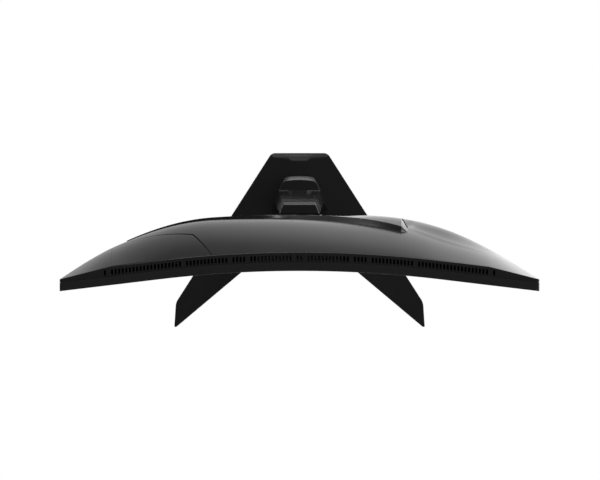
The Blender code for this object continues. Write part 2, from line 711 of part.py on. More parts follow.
def electronics():
    """Main board above the port bay, power board beside the mount, and the shield over the main board."""
    left, right = PORT_BAY
    low = PORT_ROOF_Z + ROUND_SOCKET_LENGTH + BAY_WALL / 4
    high = low + MAIN_BOARD_HEIGHT
    chips = BOARD_Y + BOARD_THICK + BAY_FRONT_ROOM
    board_left = left - BOARD_SIDE_MARGIN
    board_right = right - BOARD_SIDE_MARGIN - BRACKET_FLANGE
    board_low = PORT_ROOF_Z + BAY_WALL + GAP
    board = box("main_board", (board_left, BOARD_Y, board_low), (board_right, BOARD_Y + BOARD_THICK, high))
    board_face = BOARD_Y + BOARD_THICK / 2
    join(board, box("add", (board_left + 0.02, board_face, low + 0.04),
                    (board_left + 0.046, chips, low + 0.066)),
         box("add", (board_left + 0.055, board_face, low + 0.03), (board_left + 0.067, chips, low + 0.05)))
    board_green(board)
    shield_left, shield_right = board_left - SHIELD_RIM, board_right + SHIELD_RIM
    shield_back, shield_top = BOARD_Y + SHIELD_DEPTH, high + SHIELD_RIM
    shield = box("board_shield", (shield_left, BOARD_Y - OVERLAP, low + 0.003),
                 (shield_right, shield_back, shield_top))
    hollow = box("cut", (shield_left + SHEET_WALL, BOARD_Y - 0.01, low - 0.02),
                 (shield_right - SHEET_WALL, shield_back - SHEET_WALL, shield_top - SHEET_WALL))
    steel(cut(shield, hollow))
    power_low, power_high = [AXIS_Z + up for up in POWER_BOARD_UP]
    power = box("power_board", (POWER_BOARD_X[0], BOARD_Y, power_low),
                (POWER_BOARD_X[1], BOARD_Y + BOARD_THICK, power_high))
    coil = box("add", (COIL_X[0], board_face, AXIS_Z + COIL_UP[0]),
               (COIL_X[1], BOARD_Y + 0.016, AXIS_Z + COIL_UP[1]))
    capacitor = rod("add", "Y", (CAPACITOR_PLACE[0], AXIS_Z + CAPACITOR_PLACE[1]), CAPACITOR_RADIUS,
                    board_face, BOARD_Y + 0.018, 12)
    board_green(join(power, coil, capacitor))
    cable_y = front_edge(left) + CHASSIS_BACK + 0.004
    cable_x = left - CABLE_LEFT_OF_BAY
    cable_end = low + 0.05
    cable = box("panel_cable", (cable_x, cable_y, HEAD_BOTTOM + CHIN_HEIGHT + 0.025),
                (cable_x + CABLE_WIDTH, cable_y + SHEET_WALL, cable_end))
    turn = box("add", (cable_x, cable_y, cable_end - SHEET_WALL),
               (cable_x + CABLE_WIDTH, BOARD_Y - 0.002, cable_end))
    finish(join(cable, turn), (0.7, 0.7, 0.66), 0.5)
    lead_y = front_edge(LEAD_X) + CHASSIS_BACK + 2 * LEAD_RADIUS
    lead_low = HEAD_BOTTOM + CHIN_HEIGHT + 0.03
    lead = rod("led_cable", "Z", (LEAD_X, lead_y), LEAD_RADIUS, lead_low, AXIS_Z - 0.06, 8)
    finish(lead, (0.6, 0.05, 0.04), 0.5)


# ------------------------------------------------------------------ controls

def joystick(cover):
    """Five-way stick at the back: a ring tips about X, the stem in it about Z, and the cap presses in."""
    skin = cover_surface()(STICK_X, STICK_Z)
    pivot = skin - STICK_PIVOT_DEPTH
    centre = (STICK_X, STICK_Z)
    opening = STICK_RADIUS + STICK_OPENING_GAP
    cut(cover, rod("cut", "Y", centre, opening, pivot + 0.004, skin + 0.02, 24))
    body = box("joystick_switch", (STICK_X - SWITCH_HALF, pivot - 0.008, STICK_Z - SWITCH_HALF),
               (STICK_X + SWITCH_HALF, pivot + 0.003, STICK_Z + SWITCH_HALF))
    plastic(cut(body, rod("cut", "Y", centre, SWITCH_BORE, pivot - 0.005, pivot + 0.01, 20)))
    ring = rod("joystick_ring", "Y", centre, STICK_RING_RADIUS, pivot - STICK_RING_HALF,
               pivot + STICK_RING_HALF, 20)
    steel(cut(ring, rod("cut", "Y", centre, STICK_RING_BORE, pivot - 0.01, pivot + 0.01, 16)))
    steel(rod("joystick_stem", "Y", centre, STICK_STEM_RADIUS, pivot - 2 * STICK_RING_HALF, skin + 0.001, 14))
    cap = rod("joystick_cap", "Y", centre, STICK_RADIUS, pivot + STICK_CAP_ABOVE_PIVOT,
              skin + STICK_PROUD, 24)
    plastic(cut(cap, rod("cut", "Y", centre, STICK_STEM_RADIUS + GAP, pivot, skin + 0.0016, 16)))


def power_button(cover):
    """Push button in the underside of the rim, with its switch above it."""
    x = HEAD_HALF - BUTTON_FROM_END
    y = front_edge(x) + BUTTON_SET_BACK
    place = (x, y)
    floor = HEAD_BOTTOM + COVER_WALL
    top = floor + 0.002
    cut(cover, rod("cut", "Z", place, BUTTON_RADIUS + GAP, HEAD_BOTTOM - 0.01, top + 0.002, 20))
    button = rod("power_button", "Z", place, BUTTON_RADIUS, HEAD_BOTTOM - BUTTON_PROUD, top, 20)
    plastic(join(button, rod("add", "Z", place, BUTTON_RADIUS + BUTTON_FLANGE, floor + GAP, top, 20)))
    plastic(box("power_switch", (x - 0.004, y - 0.003, top + BUTTON_TRAVEL_ROOM),
                (x + 0.004, y + 0.004, top + BUTTON_TRAVEL_ROOM + 0.005)))


# ------------------------------------------------------------------ mount and hinge

def screw_places():
    return [(x, AXIS_Z + z) for z in (VESA_HALF, -VESA_HALF) for x in (-VESA_HALF, VESA_HALF)]


def screw_holes():
    """Four separate bars that bore the mounting holes through the bracket and the hinge plate."""
    bars = []
    for place in screw_places():
        bars.append(rod("cut", "Y", place, VESA_HOLE, VESA_BACK_Y - 0.008, VESA_BACK_Y + 0.008, 12))
    return bars


def vesa_bracket():
    """Pressed steel box on the chassis that carries the mounting face."""
    half = RECESS_HALF - 0.003
    front = FRONT_Y + CHASSIS_BACK + GAP
    bracket = box("vesa_bracket", (-half, front, AXIS_Z - half), (half, VESA_BACK_Y, AXIS_Z + half))
    join(bracket, box("add", (-half - BRACKET_FLANGE, front, AXIS_Z - half),
                      (half + BRACKET_FLANGE, front + BRACKET_WALL, AXIS_Z + half)))
    inner = half - BRACKET_WALL
    cut(bracket, box("cut", (-inner, front - 0.01, AXIS_Z - inner),
                     (inner, VESA_BACK_Y - BRACKET_WALL, AXIS_Z + inner)))
    steel(cut(bracket, *screw_holes()))


def vesa_screws():
    seat = VESA_BACK_Y + GAP + HINGE_PLATE_THICK + GAP
    for number, place in enumerate(screw_places(), 1):
        screw = rod(f"vesa_screw_{number}", "Y", place, VESA_SCREW, VESA_BACK_Y - SCREW_REACH,
                    seat + OVERLAP, 10)
        head = rod("add", "Y", place, VESA_SCREW * 2, seat, seat + SCREW_HEAD_THICK, 14)
        steel(join(screw, head))


def hinge():
    """Tilt hinge: a plate with two lugs on the head, a shaft, and a lugged bracket on the neck."""
    plate_front = VESA_BACK_Y + GAP
    plate_back = plate_front + HINGE_PLATE_THICK
    plate = box("hinge_plate", (-VESA_PLATE_HALF, plate_front, AXIS_Z - VESA_PLATE_HALF),
                (VESA_PLATE_HALF, plate_back, AXIS_Z + VESA_PLATE_HALF))
    root = plate_back - OVERLAP
    inner = PLATE_LUG_X
    join(plate, lug("add", inner, inner + LUG_THICK, root, LUG_ROOT_HALF),
         lug("add", -inner - LUG_THICK, -inner, root, LUG_ROOT_HALF))
    bore = SHAFT_RADIUS + GAP
    cut(plate, rod("cut", "X", (HINGE_Y, AXIS_Z), bore, -0.06, 0.06), *screw_holes())
    steel(plate)

    lug_end = NECK_LUG_X + LUG_THICK
    back = core_front(AXIS_Z) - NECK_PLATE_SEAT
    bracket = box("neck_bracket", (-lug_end, back - NECK_PLATE_THICK, AXIS_Z - NECK_BRACKET_HALF),
                  (lug_end, back, AXIS_Z + NECK_BRACKET_HALF))
    join(bracket, lug("add", NECK_LUG_X, lug_end, back - OVERLAP, LUG_ROOT_HALF),
         lug("add", -lug_end, -NECK_LUG_X, back - OVERLAP, LUG_ROOT_HALF))
    steel(cut(bracket, rod("cut", "X", (HINGE_Y, AXIS_Z), bore, -0.06, 0.06)))

    axis = (HINGE_Y, AXIS_Z)
    nut_face = lug_end + GAP
    shaft = rod("hinge_shaft", "X", axis, SHAFT_RADIUS, -nut_face - SHAFT_HEAD_THICK,
                nut_face + NUT_THICK + 0.001)
    head = rod("add", "X", axis, SHAFT_HEAD_RADIUS, -nut_face - SHAFT_HEAD_THICK - OVERLAP / 2, -nut_face)
    steel(join(shaft, head))
    nut = rod("hinge_nut", "X", axis, NUT_RADIUS, nut_face, nut_face + NUT_THICK, 6)
    steel(cut(nut, rod("cut", "X", axis, bore, 0, 0.1)))
    washer_low = PLATE_LUG_X + LUG_THICK + GAP
    washer_high = NECK_LUG_X - GAP
    for side, name in ((-1, "disc_spring_left"), (1, "disc_spring_right")):
        low, high = sorted((side * washer_low, side * washer_high))
        washer = rod(name, "X", axis, LUG_RADIUS - 0.001, low, high)
        steel(cut(washer, rod("cut", "X", axis, bore, low - 0.01, high + 0.01)))


# ------------------------------------------------------------------ stand

def hexagon(grow=0.0):
    """Outline (x, z) of the cable hole, above the ledge."""
    half = HOLE_HALF + grow
    rise = HOLE_HEIGHT / 2 + grow
    middle = LEDGE_Z + HOLE_ABOVE_LEDGE + HOLE_HEIGHT / 2
    flat = half * HEXAGON_TOP_SHARE
    corners = ((half, 0), (flat, rise), (-flat, rise), (-half, 0), (-flat, -rise), (flat, -rise))
    return [(x, middle + z) for x, z in corners]


def neck():
    """Column and foot: a rear shell, a front cover, a steel core and the lined cable hole."""
    floor = BASE_TOP + GAP
    lip = LEDGE_Z + LIP_HEIGHT
    outline = [(FOOT_FRONT, floor), (FOOT_REAR, floor), (FOOT_REAR, lip - 0.002),
               (FOOT_REAR - NECK_BEVEL, lip), (FOOT_REAR - LIP_DEPTH + NECK_BEVEL, lip),
               (FOOT_REAR - LIP_DEPTH, LEDGE_Z), (neck_rear(LEDGE_Z) + NECK_BEVEL, LEDGE_Z),
               (neck_rear(LEDGE_Z + 0.004), LEDGE_Z + 0.004),
               (neck_rear(NECK_TOP - 0.006), NECK_TOP - 0.006),
               (neck_rear(NECK_TOP) - 0.002, NECK_TOP - 0.0018),
               (neck_rear(NECK_TOP) - 0.006, NECK_TOP), (neck_front(NECK_TOP), NECK_TOP + 0.001),
               (neck_front(LEDGE_Z + FRONT_KNEE), LEDGE_Z + FRONT_KNEE)]
    shell = neck_prism("neck_rear_shell", outline, 0.0)
    inner_top = NECK_TOP - NECK_WALL * 1.6
    inner_ledge = LEDGE_Z - NECK_WALL
    hollow = [(FOOT_FRONT - 0.04, floor - 0.01), (FOOT_REAR - NECK_WALL, floor - 0.01),
              (FOOT_REAR - NECK_WALL, inner_ledge), (neck_rear(LEDGE_Z) - NECK_WALL, inner_ledge),
              (neck_rear(inner_top) - NECK_WALL, inner_top), (FOOT_FRONT - 0.04, inner_top)]
    cut(shell, neck_prism("cut", hollow, NECK_WALL), prism("cut", hexagon(), "Y", 0.03, 0.09))
    plastic(shell)

    cover_top = AXIS_Z - FRONT_COVER_DROP
    cover_low = LEDGE_Z + FRONT_KNEE
    front = [(FOOT_FRONT, floor), (FOOT_FRONT + FRONT_COVER_THICK, floor),
             (neck_front(cover_low) + FRONT_COVER_THICK, cover_low),
             (neck_front(cover_top) + FRONT_COVER_THICK, cover_top), (neck_front(cover_top), cover_top),
             (neck_front(cover_low), cover_low)]
    cover = neck_prism("neck_front_cover", front, NECK_WALL + GAP)
    plastic(cut(cover, prism("cut", hexagon(), "Y", 0.02, 0.09)))

    core_top = AXIS_Z + CORE_RISE
    foot_y, head_y = core_front(floor), core_front(core_top)
    core = prism("neck_core", [(foot_y, floor), (foot_y + CORE_THICK, floor), (head_y + CORE_THICK, core_top),
                               (head_y, core_top)], "X", -CORE_HALF, CORE_HALF)
    tail = FOOT_REAR - NECK_WALL - 0.002
    join(core, box("add", (-CORE_TAIL_HALF, foot_y + OVERLAP, floor),
                   (CORE_TAIL_HALF, tail, floor + CORE_THICK)))
    cut(core, prism("cut", hexagon(), "Y", 0.03, 0.07))
    steel(cut(core, rod("cut", "Z", (0, SCREW_Y), SCREW_RADIUS + GAP, 0, floor + 0.02)))

    low_z = LEDGE_Z + HOLE_ABOVE_LEDGE
    liner = prism("cable_grommet", hexagon(-GAP), "Y", neck_front(low_z + HOLE_HEIGHT) - 0.0005,
                  neck_rear(low_z) + 0.0012)
    finish(cut(liner, prism("cut", hexagon(-GAP - GROMMET_WALL), "Y", 0.02, 0.09)), (0.01, 0.01, 0.01), 0.7)


def crossing(first, second):
    """Where two lines (normal_x, normal_y, distance) meet."""
    scale = first[0] * second[1] - second[0] * first[1]
    return ((first[2] * second[1] - second[2] * first[1]) / scale,
            (first[0] * second[2] - second[0] * first[2]) / scale)


def line_through(start, end, inset):
    """Line from start to end with the body on its left, moved inwards by the inset."""
    length = math.dist(start, end)
    normal = ((start[1] - end[1]) / length, (end[0] - start[0]) / length)
    return (*normal, normal[0] * start[0] + normal[1] * start[1] + inset)


def base_outline(inset=0.0):
    """Half of the A-shaped plate from its edge lines, mirrored to the whole outline."""
    edges = [((1, BASE_REAR), (0, BASE_REAR)), ((KNEE_HALF, KNEE_Y), (BASE_REAR_HALF, BASE_REAR)),
             ((TIP_HALF, BASE_FRONT), (KNEE_HALF, KNEE_Y)), ((0, BASE_FRONT), (1, BASE_FRONT)),
             ((0, CROTCH_Y), (TIP_INNER, BASE_FRONT)),
             ((-1, CROTCH_Y - CROTCH_FLAT), (0, CROTCH_Y - CROTCH_FLAT))]
    lines = [line_through(*edge, inset) for edge in edges]
    if inset:
        lines[3] = line_through((0, BASE_FRONT), (1, BASE_FRONT), inset * 4.5)
    half = [crossing(first, second) for first, second in zip(lines, lines[1:])]
    corner = half[0]
    run = math.dist(half[0], half[1])
    along = [(b - a) / run for a, b in zip(half[0], half[1])]
    rounding = [(corner[0] - BASE_CORNER, corner[1]),
                (corner[0] - BASE_CORNER * 0.2, corner[1] - BASE_CORNER * 0.2),
                (corner[0] + along[0] * BASE_CORNER, corner[1] + along[1] * BASE_CORNER)]
    right = rounding + half[1:]
    return right + [(-x, y) for x, y in reversed(right)]


def base():
    top = base_outline()
    inset = BASE_WALL
    cover = prism("base_cover", top, "Z", BASE_BOTTOM, BASE_TOP)
    steel_low = BASE_BOTTOM + STEEL_SUNK
    steel_high = steel_low + STEEL_THICK
    cut(cover, prism("cut", base_outline(inset), "Z", 0, steel_high + GAP))
    facet = [(BASE_REAR - FACET_RUN, BASE_TOP), (BASE_REAR + FACET_RUN, BASE_TOP - 2 * FACET_DROP),
             (BASE_REAR + FACET_RUN, BASE_TOP + 0.01), (BASE_REAR - FACET_RUN, BASE_TOP + 0.01)]
    cut(cover, prism("cut", facet, "X", -0.2, 0.2))
    place = (0, SCREW_Y)
    plastic(cut(cover, rod("cut", "Z", place, SCREW_RADIUS + GAP, 0, BASE_TOP + 0.01)))
    plate = prism("base_steel", base_outline(inset + GAP), "Z", steel_low, steel_high)
    steel(cut(plate, rod("cut", "Z", place, SCREW_HEAD + SCREW_HEAD_GAP, 0, BASE_TOP, 28)))
    screw = rod("thumb_screw", "Z", place, SCREW_HEAD, steel_low, steel_high - GAP, 28)
    steel(join(screw, rod("add", "Z", place, SCREW_RADIUS, steel_low + 0.001, BASE_TOP + 0.010, 16)))
    leg_y = BASE_FRONT + PAD_FROM_TIP
    leg_inner = TIP_INNER * (CROTCH_Y - leg_y) / (CROTCH_Y - BASE_FRONT)
    middle_y = (KNEE_Y + BASE_REAR) / 2 - 0.02
    middle_inner = TIP_INNER * max(0.0, CROTCH_Y - middle_y) / (CROTCH_Y - BASE_FRONT)
    share = (BASE_REAR - middle_y) / (BASE_REAR - KNEE_Y)
    middle_outer = BASE_REAR_HALF + (KNEE_HALF - BASE_REAR_HALF) * share
    spots = [(leg_inner + (KNEE_HALF - leg_inner) * 0.6, leg_y),
             ((middle_inner + middle_outer) / 2 + 0.01, middle_y),
             (BASE_REAR_HALF - 0.008, BASE_REAR - PAD_FROM_REAR)]
    number = 0
    for x, y in spots:
        for side in (-1, 1):
            number += 1
            pad = rod(f"rubber_foot_{number}", "Z", (side * x, y), FOOT_PAD_RADIUS, 0, steel_low - GAP, 16)
            finish(pad, (0.02, 0.02, 0.02), 0.9)


def main():
    for obj in list(bpy.data.objects):
        bpy.data.objects.remove(obj)
    panel_stack()
    bezel()
    cover = rear_cover()
    hump_panel()
    sockets(port_bay(cover))
    electronics()
    joystick(cover)
    power_button(cover)
    plastic(cover)
    vesa_bracket()
    vesa_screws()
    hinge()
    neck()
    base()


main()
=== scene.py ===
"""Looks of a curved desktop monitor on its A-shaped stand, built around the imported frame.

Metres, +Z up. The screen faces -Y and X runs along it. Every finished piece sits at the origin with its
place in its mesh.
"""
import math
from contextlib import contextmanager

import bmesh
import bpy
from bpy.props import FloatProperty, FloatVectorProperty, IntProperty, PointerProperty
from mathutils import Matrix, Vector


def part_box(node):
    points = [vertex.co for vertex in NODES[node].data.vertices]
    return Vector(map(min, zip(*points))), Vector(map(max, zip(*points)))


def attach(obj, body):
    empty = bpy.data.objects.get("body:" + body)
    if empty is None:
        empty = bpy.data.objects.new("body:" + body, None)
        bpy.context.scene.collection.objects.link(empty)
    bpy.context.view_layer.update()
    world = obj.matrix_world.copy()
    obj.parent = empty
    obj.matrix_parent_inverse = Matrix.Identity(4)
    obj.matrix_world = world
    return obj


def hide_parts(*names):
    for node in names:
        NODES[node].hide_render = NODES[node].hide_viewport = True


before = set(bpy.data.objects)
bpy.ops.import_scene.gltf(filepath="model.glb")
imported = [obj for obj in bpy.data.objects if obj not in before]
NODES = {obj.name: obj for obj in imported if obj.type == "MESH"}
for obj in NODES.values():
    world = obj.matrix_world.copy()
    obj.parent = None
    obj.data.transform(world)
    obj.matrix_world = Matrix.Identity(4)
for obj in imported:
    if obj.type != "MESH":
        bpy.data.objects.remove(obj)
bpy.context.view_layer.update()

bl_info = {
    "name": "Curved desktop monitor",
    "version": (1, 0, 0),
    "blender": (4, 5, 0),
    "location": "View3D > Sidebar > Monitor",
    "description": "Builds the housing, stand, controls and finishes of a curved monitor",
    "category": "Object",
}

# ---- what the frame fixes
COVER_LOW, COVER_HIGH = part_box("rear_cover")
MIDDLE_LOW, MIDDLE_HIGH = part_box("hump_panel")
NECK_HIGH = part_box("neck_rear_shell")[1]
BASE_LOW, BASE_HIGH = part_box("base_cover")
PLATE_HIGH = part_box("base_steel")[1]
BAY_LOW, BAY_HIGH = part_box("port_bay")
SHAFT_LOW, SHAFT_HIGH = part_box("hinge_shaft")
HEAD_HALF = COVER_HIGH.x
HEAD_TOP = COVER_HIGH.z
HEAD_BOTTOM = COVER_LOW.z
CHIN_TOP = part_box("chin_strip")[1].z
AXIS_Z = (SHAFT_LOW.z + SHAFT_HIGH.z) / 2
BASE_TOP = BASE_HIGH.z

# ---- curves of the head
SCREEN_RADIUS = 1.500
ARC_HALF = 0.178                # the front is an arc this far out and runs on straight from there
FRONT_Y = -0.0395
RIM_DEPTH = 0.0236
RIM_END_DEPTH = 0.0153
RIM_TAPER = 0.064
HUMP_DEPTH = 0.0717
HUMP_HALF = 0.110
HUMP_LEAN = 0.010
END_DEPTH = 0.0162
UPPER_SLOPE = 0.098
LOWER_SLOPE = 0.108
SLOPE_POWER = 1.8
PANEL_LEFT = 0.222
PANEL_RIGHT = 0.134
PANEL_SLANT = 0.024
SLANT_HEIGHT = 0.160            # the ends lean in over this height
STEP_LEFT = 0.0010
STEP_MIDDLE = 0.0050
STEP_RIGHT = 0.0075
STEP_FADE = 0.022
END_GAP = 0.002
END_CLEAR = 0.0002              # gap at the middle panel's right end
RISER = 0.0007
RISE_HEIGHT = 0.048             # height over which the cover rises behind the creases
CREASE_SHARE = 0.16
STEP_ENDS = (0.17, 0.262)       # the step runs out between these places along X
STEP_LOW_Z = 0.125              # below this height there is no step
BULGE = 0.0032
BULGE_HEIGHT = 0.045
BULGE_GROWS = (0.045, 0.100)    # the bulge grows and fades between these places along X
BULGE_FADES = (0.185, 0.290)
PANEL_RISE = 0.036              # the middle panel's top edge climbs by this towards its right end
PANEL_RISE_REACH = 0.14
PANEL_RIGHT_END = 0.1383
PANEL_RIGHT_TOP = 0.1306        # the same end at the panel's outer face
UPPER_CREASE = ((0.1306, 0.0191), (0.243, -0.0229))
LOWER_CREASE = ((0.1383, 0.0127), (0.2555, -0.0280))
RECESS_HALF = 0.059
RECESS_ROUND = 0.004
STICK_HOLE_RADIUS = 0.0085
BUTTON_HOLE_RADIUS = 0.0043
BEZEL_WIDTH = 0.0022
GAP = 0.0003
REBATE = 0.0010                 # skin left outside the tongue where bezel and cover overlap
TONGUE_LENGTH = 0.0024

# ---- wing panels, as distances from the middle and from the top of the head
WING_THICK = 0.001
WING_DIP = 0.0006
WING_DIPS = (-0.20, -0.125)     # the panel sinks between these places along X
WING_INNER = 0.112
WING_OUTER = 0.2405
WING_SLANT = 0.025
WING_INNER_DROP = 0.0423
WING_OUTER_DROP = 0.0826
WING_TOP_DROP = 0.0016

# ---- stand
NECK_BEHIND_HUMP = 0.0155
NECK_LEAN = 0.0173
NECK_DEPTH = 0.0145
LEDGE_HEIGHT = 0.0225
FOOT_CHAMFER = (0.0055, 0.0038)
FOOT_BOW = 4.5                  # the foot's rear edge is an arc
FOOT_FRONT = 0.040
FOOT_REAR = 0.0845
NECK_WALL = 0.0025
COLUMN_LOW_HALF = 0.0275        # half-width of the column's back face, just above the ledge
COLUMN_TOP_HALF = 0.0200
COLUMN_FLARE = 0.40             # half-width gained for each metre that the column runs forward
FOOT_END_HALF = 0.0192
HOLE_HALF = 0.016
HOLE_FLAT = 0.62                # half-width of its flat top and bottom, as a share of its own
HOLE_HEIGHT = 0.032
HOLE_ABOVE_LEDGE = 0.010
BACK_Y = FRONT_Y + HUMP_DEPTH
LEDGE_Z = BASE_TOP + LEDGE_HEIGHT
NECK_TOP = NECK_HIGH.z - 0.001
NECK_REAR_TOP = BACK_Y + NECK_BEHIND_HUMP
NECK_REAR_LOW = NECK_REAR_TOP + NECK_LEAN


# ---------------- sizes and colours a user would change

def length(name, description, default, low, high):
    return FloatProperty(name=name, description=description, default=default, min=low, max=high,
                         unit="LENGTH")


def tint(name, description, default):
    return FloatVectorProperty(name=name, description=description, default=default, size=3, min=0, max=1,
                               subtype="COLOR")


def brightness(name, description, default, high):
    return FloatProperty(name=name, description=description, default=default, min=0, max=high)


class MonitorSizes(bpy.types.PropertyGroup):
    """Sizes of the visible detail."""
    seam_depth: length("Seam depth", "Front edge back to the seam between bezel and rear cover", 0.0113,
                       0.006, 0.015)
    edge_round: length("Edge round", "Rounding of the housing's outer edges", 0.0006, 0.0001, 0.002)
    corner_round: length("Corner round", "Rounding of the head's four corners", 0.0025, 0.0005, 0.01)
    wall: length("Cover wall", "Wall of the rear cover", 0.0024, 0.001, 0.004)
    slot_pitch: length("Slot pitch", "Distance between vent slots", 0.00455, 0.003, 0.01)
    slot_width: length("Slot width", "Width of a vent slot", 0.0026, 0.001, 0.004)
    slot_length: length("Slot length", "Length of a vent slot", 0.0084, 0.003, 0.02)
    wing_seam: length("Wing seam", "Gap around the wing panel", 0.0009, 0.0002, 0.002)
    columns: IntProperty(
        name="Cover columns", description="Columns of the rear cover's surface", default=180, min=40,
        max=240)
    rows: IntProperty(
        name="Cover rows", description="Rows of the rear cover's surface", default=96, min=30, max=140)


class MonitorColours(bpy.types.PropertyGroup):
    """Colours of the finishes."""
    housing: tint("Housing", "Moulded plastic of the head", (0.0105, 0.0105, 0.0110))
    stand: tint("Stand", "Moulded plastic of the column", (0.0100, 0.0100, 0.0104))
    base: tint("Base", "Finish of the base plate", (0.0075, 0.0075, 0.0079))
    steel: tint("Steel", "Plated steel of the fittings", (0.46, 0.47, 0.49))
    board: tint("Circuit board", "Solder mask of the boards", (0.008, 0.060, 0.030))


class StudioSettings(bpy.types.PropertyGroup):
    """The camera and the light around the object."""
    camera_height: length("Camera height", "Camera above the top of the head", 12.0, 2, 40)
    view_width: length("View width", "Width seen at the top of the head", 0.7646, 0.1, 4)
    horizon: brightness("Horizon", "Brightness of the surround at eye level", 1.0, 10)
    zenith: brightness("Zenith", "Brightness straight above", 0.17, 10)
    floor: brightness("Floor glow", "Brightness of the floor in view", 0.998, 2)
    near_right: brightness("Near floor, right", "Brightness reflected from the floor close by on the right",
                           1.9, 5)
    far_right: brightness("Far floor, right", "Brightness reflected from the far floor on the right", 1.45, 5)
    soft_box: FloatProperty(
        name="Soft box", description="Power of the soft light behind", default=26.0, min=0, max=500,
        unit="POWER")


def sizes():
    return bpy.context.scene.monitor_sizes


def colours():
    return bpy.context.scene.monitor_colours


def studio():
    return bpy.context.scene.monitor_studio


# ---------------- curves

def front_edge(x):
    """Y of the bezel's front edge: an arc, then its tangents."""
    reach = min(abs(x), ARC_HALF)
    rise = math.sqrt(SCREEN_RADIUS ** 2 - reach ** 2)
    return FRONT_Y - (SCREEN_RADIUS - rise) - reach / rise * (abs(x) - reach)


def rim_depth(x):
    narrowing = max(0.0, (abs(x) - (HEAD_HALF - RIM_TAPER)) / RIM_TAPER)
    return RIM_DEPTH - (RIM_DEPTH - RIM_END_DEPTH) * narrowing


def hump_depth(x):
    outwards = max(0.0, (abs(x) - HUMP_HALF) / (HEAD_HALF - HUMP_HALF))
    return HUMP_DEPTH - (HUMP_DEPTH - END_DEPTH) * outwards ** 2 - HUMP_LEAN * x * (1 - outwards)


def swell(z):
    inwards = min(1.0, (HEAD_TOP - z) / UPPER_SLOPE, (z - HEAD_BOTTOM) / LOWER_SLOPE)
    return 1 - (1 - max(0.0, inwards)) ** SLOPE_POWER


def blend(low, high, value):
    """0 below low, 1 above high, and a smooth rise between them."""
    share = min(1.0, max(0.0, (value - low) / (high - low)))
    return share * share * (3 - 2 * share)


def line_at(line, x):
    """Y at x on a straight line given by two points."""
    (x_low, y_low), (x_high, y_high) = line
    return y_low + (y_high - y_low) * (x - x_low) / (x_high - x_low)


def step_depth(x):
    """Height of the step up to the middle panel."""
    reach, end = (PANEL_RIGHT, STEP_RIGHT) if x > 0 else (PANEL_LEFT, STEP_LEFT)
    return STEP_MIDDLE + (end - STEP_MIDDLE) * min(1.0, abs(x) / reach)


def slant(z):
    """How far the middle panel's ends lean in at a height."""
    return PANEL_SLANT * min(1.0, max(0.0, (MIDDLE_HIGH.z - z) / SLANT_HEIGHT))


def panel_end(z):
    """X of the middle panel's slanted right end."""
    return PANEL_RIGHT_END - slant(z)


def bulge(x, z):
    """The back is fuller than the parabola between the middle and the right end, below its slope."""
    along = blend(*BULGE_GROWS, x) * (1 - blend(*BULGE_FADES, x))
    top = MIDDLE_HIGH.z + PANEL_RISE * blend(0.0, PANEL_RISE_REACH, x)
    return BULGE * along * blend(0.0, BULGE_HEIGHT, top - z)


def upper_skin(x, z):
    """The surface that the middle panel and both sides come up to."""
    flat = front_edge(x) + rim_depth(x) + max(0.0, hump_depth(x) - rim_depth(x)) * swell(z)
    return flat + bulge(x, z)


def lower_skin(x, z):
    """The surface a step below it, which carries the middle panel."""
    swelling = hump_depth(x) - step_depth(x) - rim_depth(x)
    return front_edge(x) + rim_depth(x) + max(0.0, swelling) * swell(z)


def height_of(x, y):
    """Height at which the lower surface passes a given Y, at x."""
    swelling = hump_depth(x) - step_depth(x) - rim_depth(x)
    share = min(1.0, max(0.0, (y - front_edge(x) - rim_depth(x)) / swelling))
    return HEAD_TOP - UPPER_SLOPE * (1 - (1 - share) ** (1 / SLOPE_POWER))


def rise_on_right(x, z):
    """Share of the step that the cover has risen by, to the right of the middle panel."""
    low_crease = height_of(x, line_at(LOWER_CREASE, x))
    high_crease = height_of(x, line_at(UPPER_CREASE, x))
    band = max(low_crease - high_crease, 0.001)
    between = min(1.0, max(0.0, (low_crease - z) / band))
    beyond = blend(0.0, RISE_HEIGHT, high_crease - z)
    return CREASE_SHARE * between + (1 - CREASE_SHARE) * beyond


def skin(x, z, sunk=0.0):
    """Y of the rear cover's outer surface."""
    low, high = lower_skin(x, z), upper_skin(x, z)
    if x < 0:
        past = -x - (PANEL_LEFT + END_GAP - slant(z))
        share = min(1.0, max(0.0, past / STEP_FADE))
    else:
        past = x - panel_end(z) - END_CLEAR
        share = min(1.0, max(0.0, past / RISER)) * rise_on_right(x, z)
        share += (1 - share) * blend(*STEP_ENDS, x)
    return low + (high - low) * share * blend(STEP_LOW_Z, MIDDLE_LOW.z, z) - sunk


def behind(*steps):
    """The surface that lies some steps behind the bezel's front edge."""
    return lambda x, z: sum(steps, front_edge(x))


def neck_rear(z):
    share = (z - LEDGE_Z) / (NECK_TOP - LEDGE_Z)
    return NECK_REAR_LOW + (NECK_REAR_TOP - NECK_REAR_LOW) * share


def neck_front(z):
    return neck_rear(z) - NECK_DEPTH


def neck_half(y, z, inset=0.0):
    """Half-width of the neck: the column narrows upwards and to the rear, the foot to the rear."""
    height = max(z, LEDGE_Z)
    share = (height - LEDGE_Z) / (NECK_TOP - LEDGE_Z)
    rear = neck_rear(height)
    if y > rear and z <= LEDGE_Z + 0.001:
        along = (y - rear) / (FOOT_REAR - rear)
        return COLUMN_LOW_HALF + (FOOT_END_HALF - COLUMN_LOW_HALF) * along - inset
    rear_half = COLUMN_LOW_HALF + (COLUMN_TOP_HALF - COLUMN_LOW_HALF) * share
    return rear_half + COLUMN_FLARE * (rear - y) - inset


# ---------------- modelling, as by hand

def deselect():
    bpy.ops.object.select_all(action="DESELECT")


def activate(piece):
    deselect()
    piece.select_set(True)
    bpy.context.view_layer.objects.active = piece


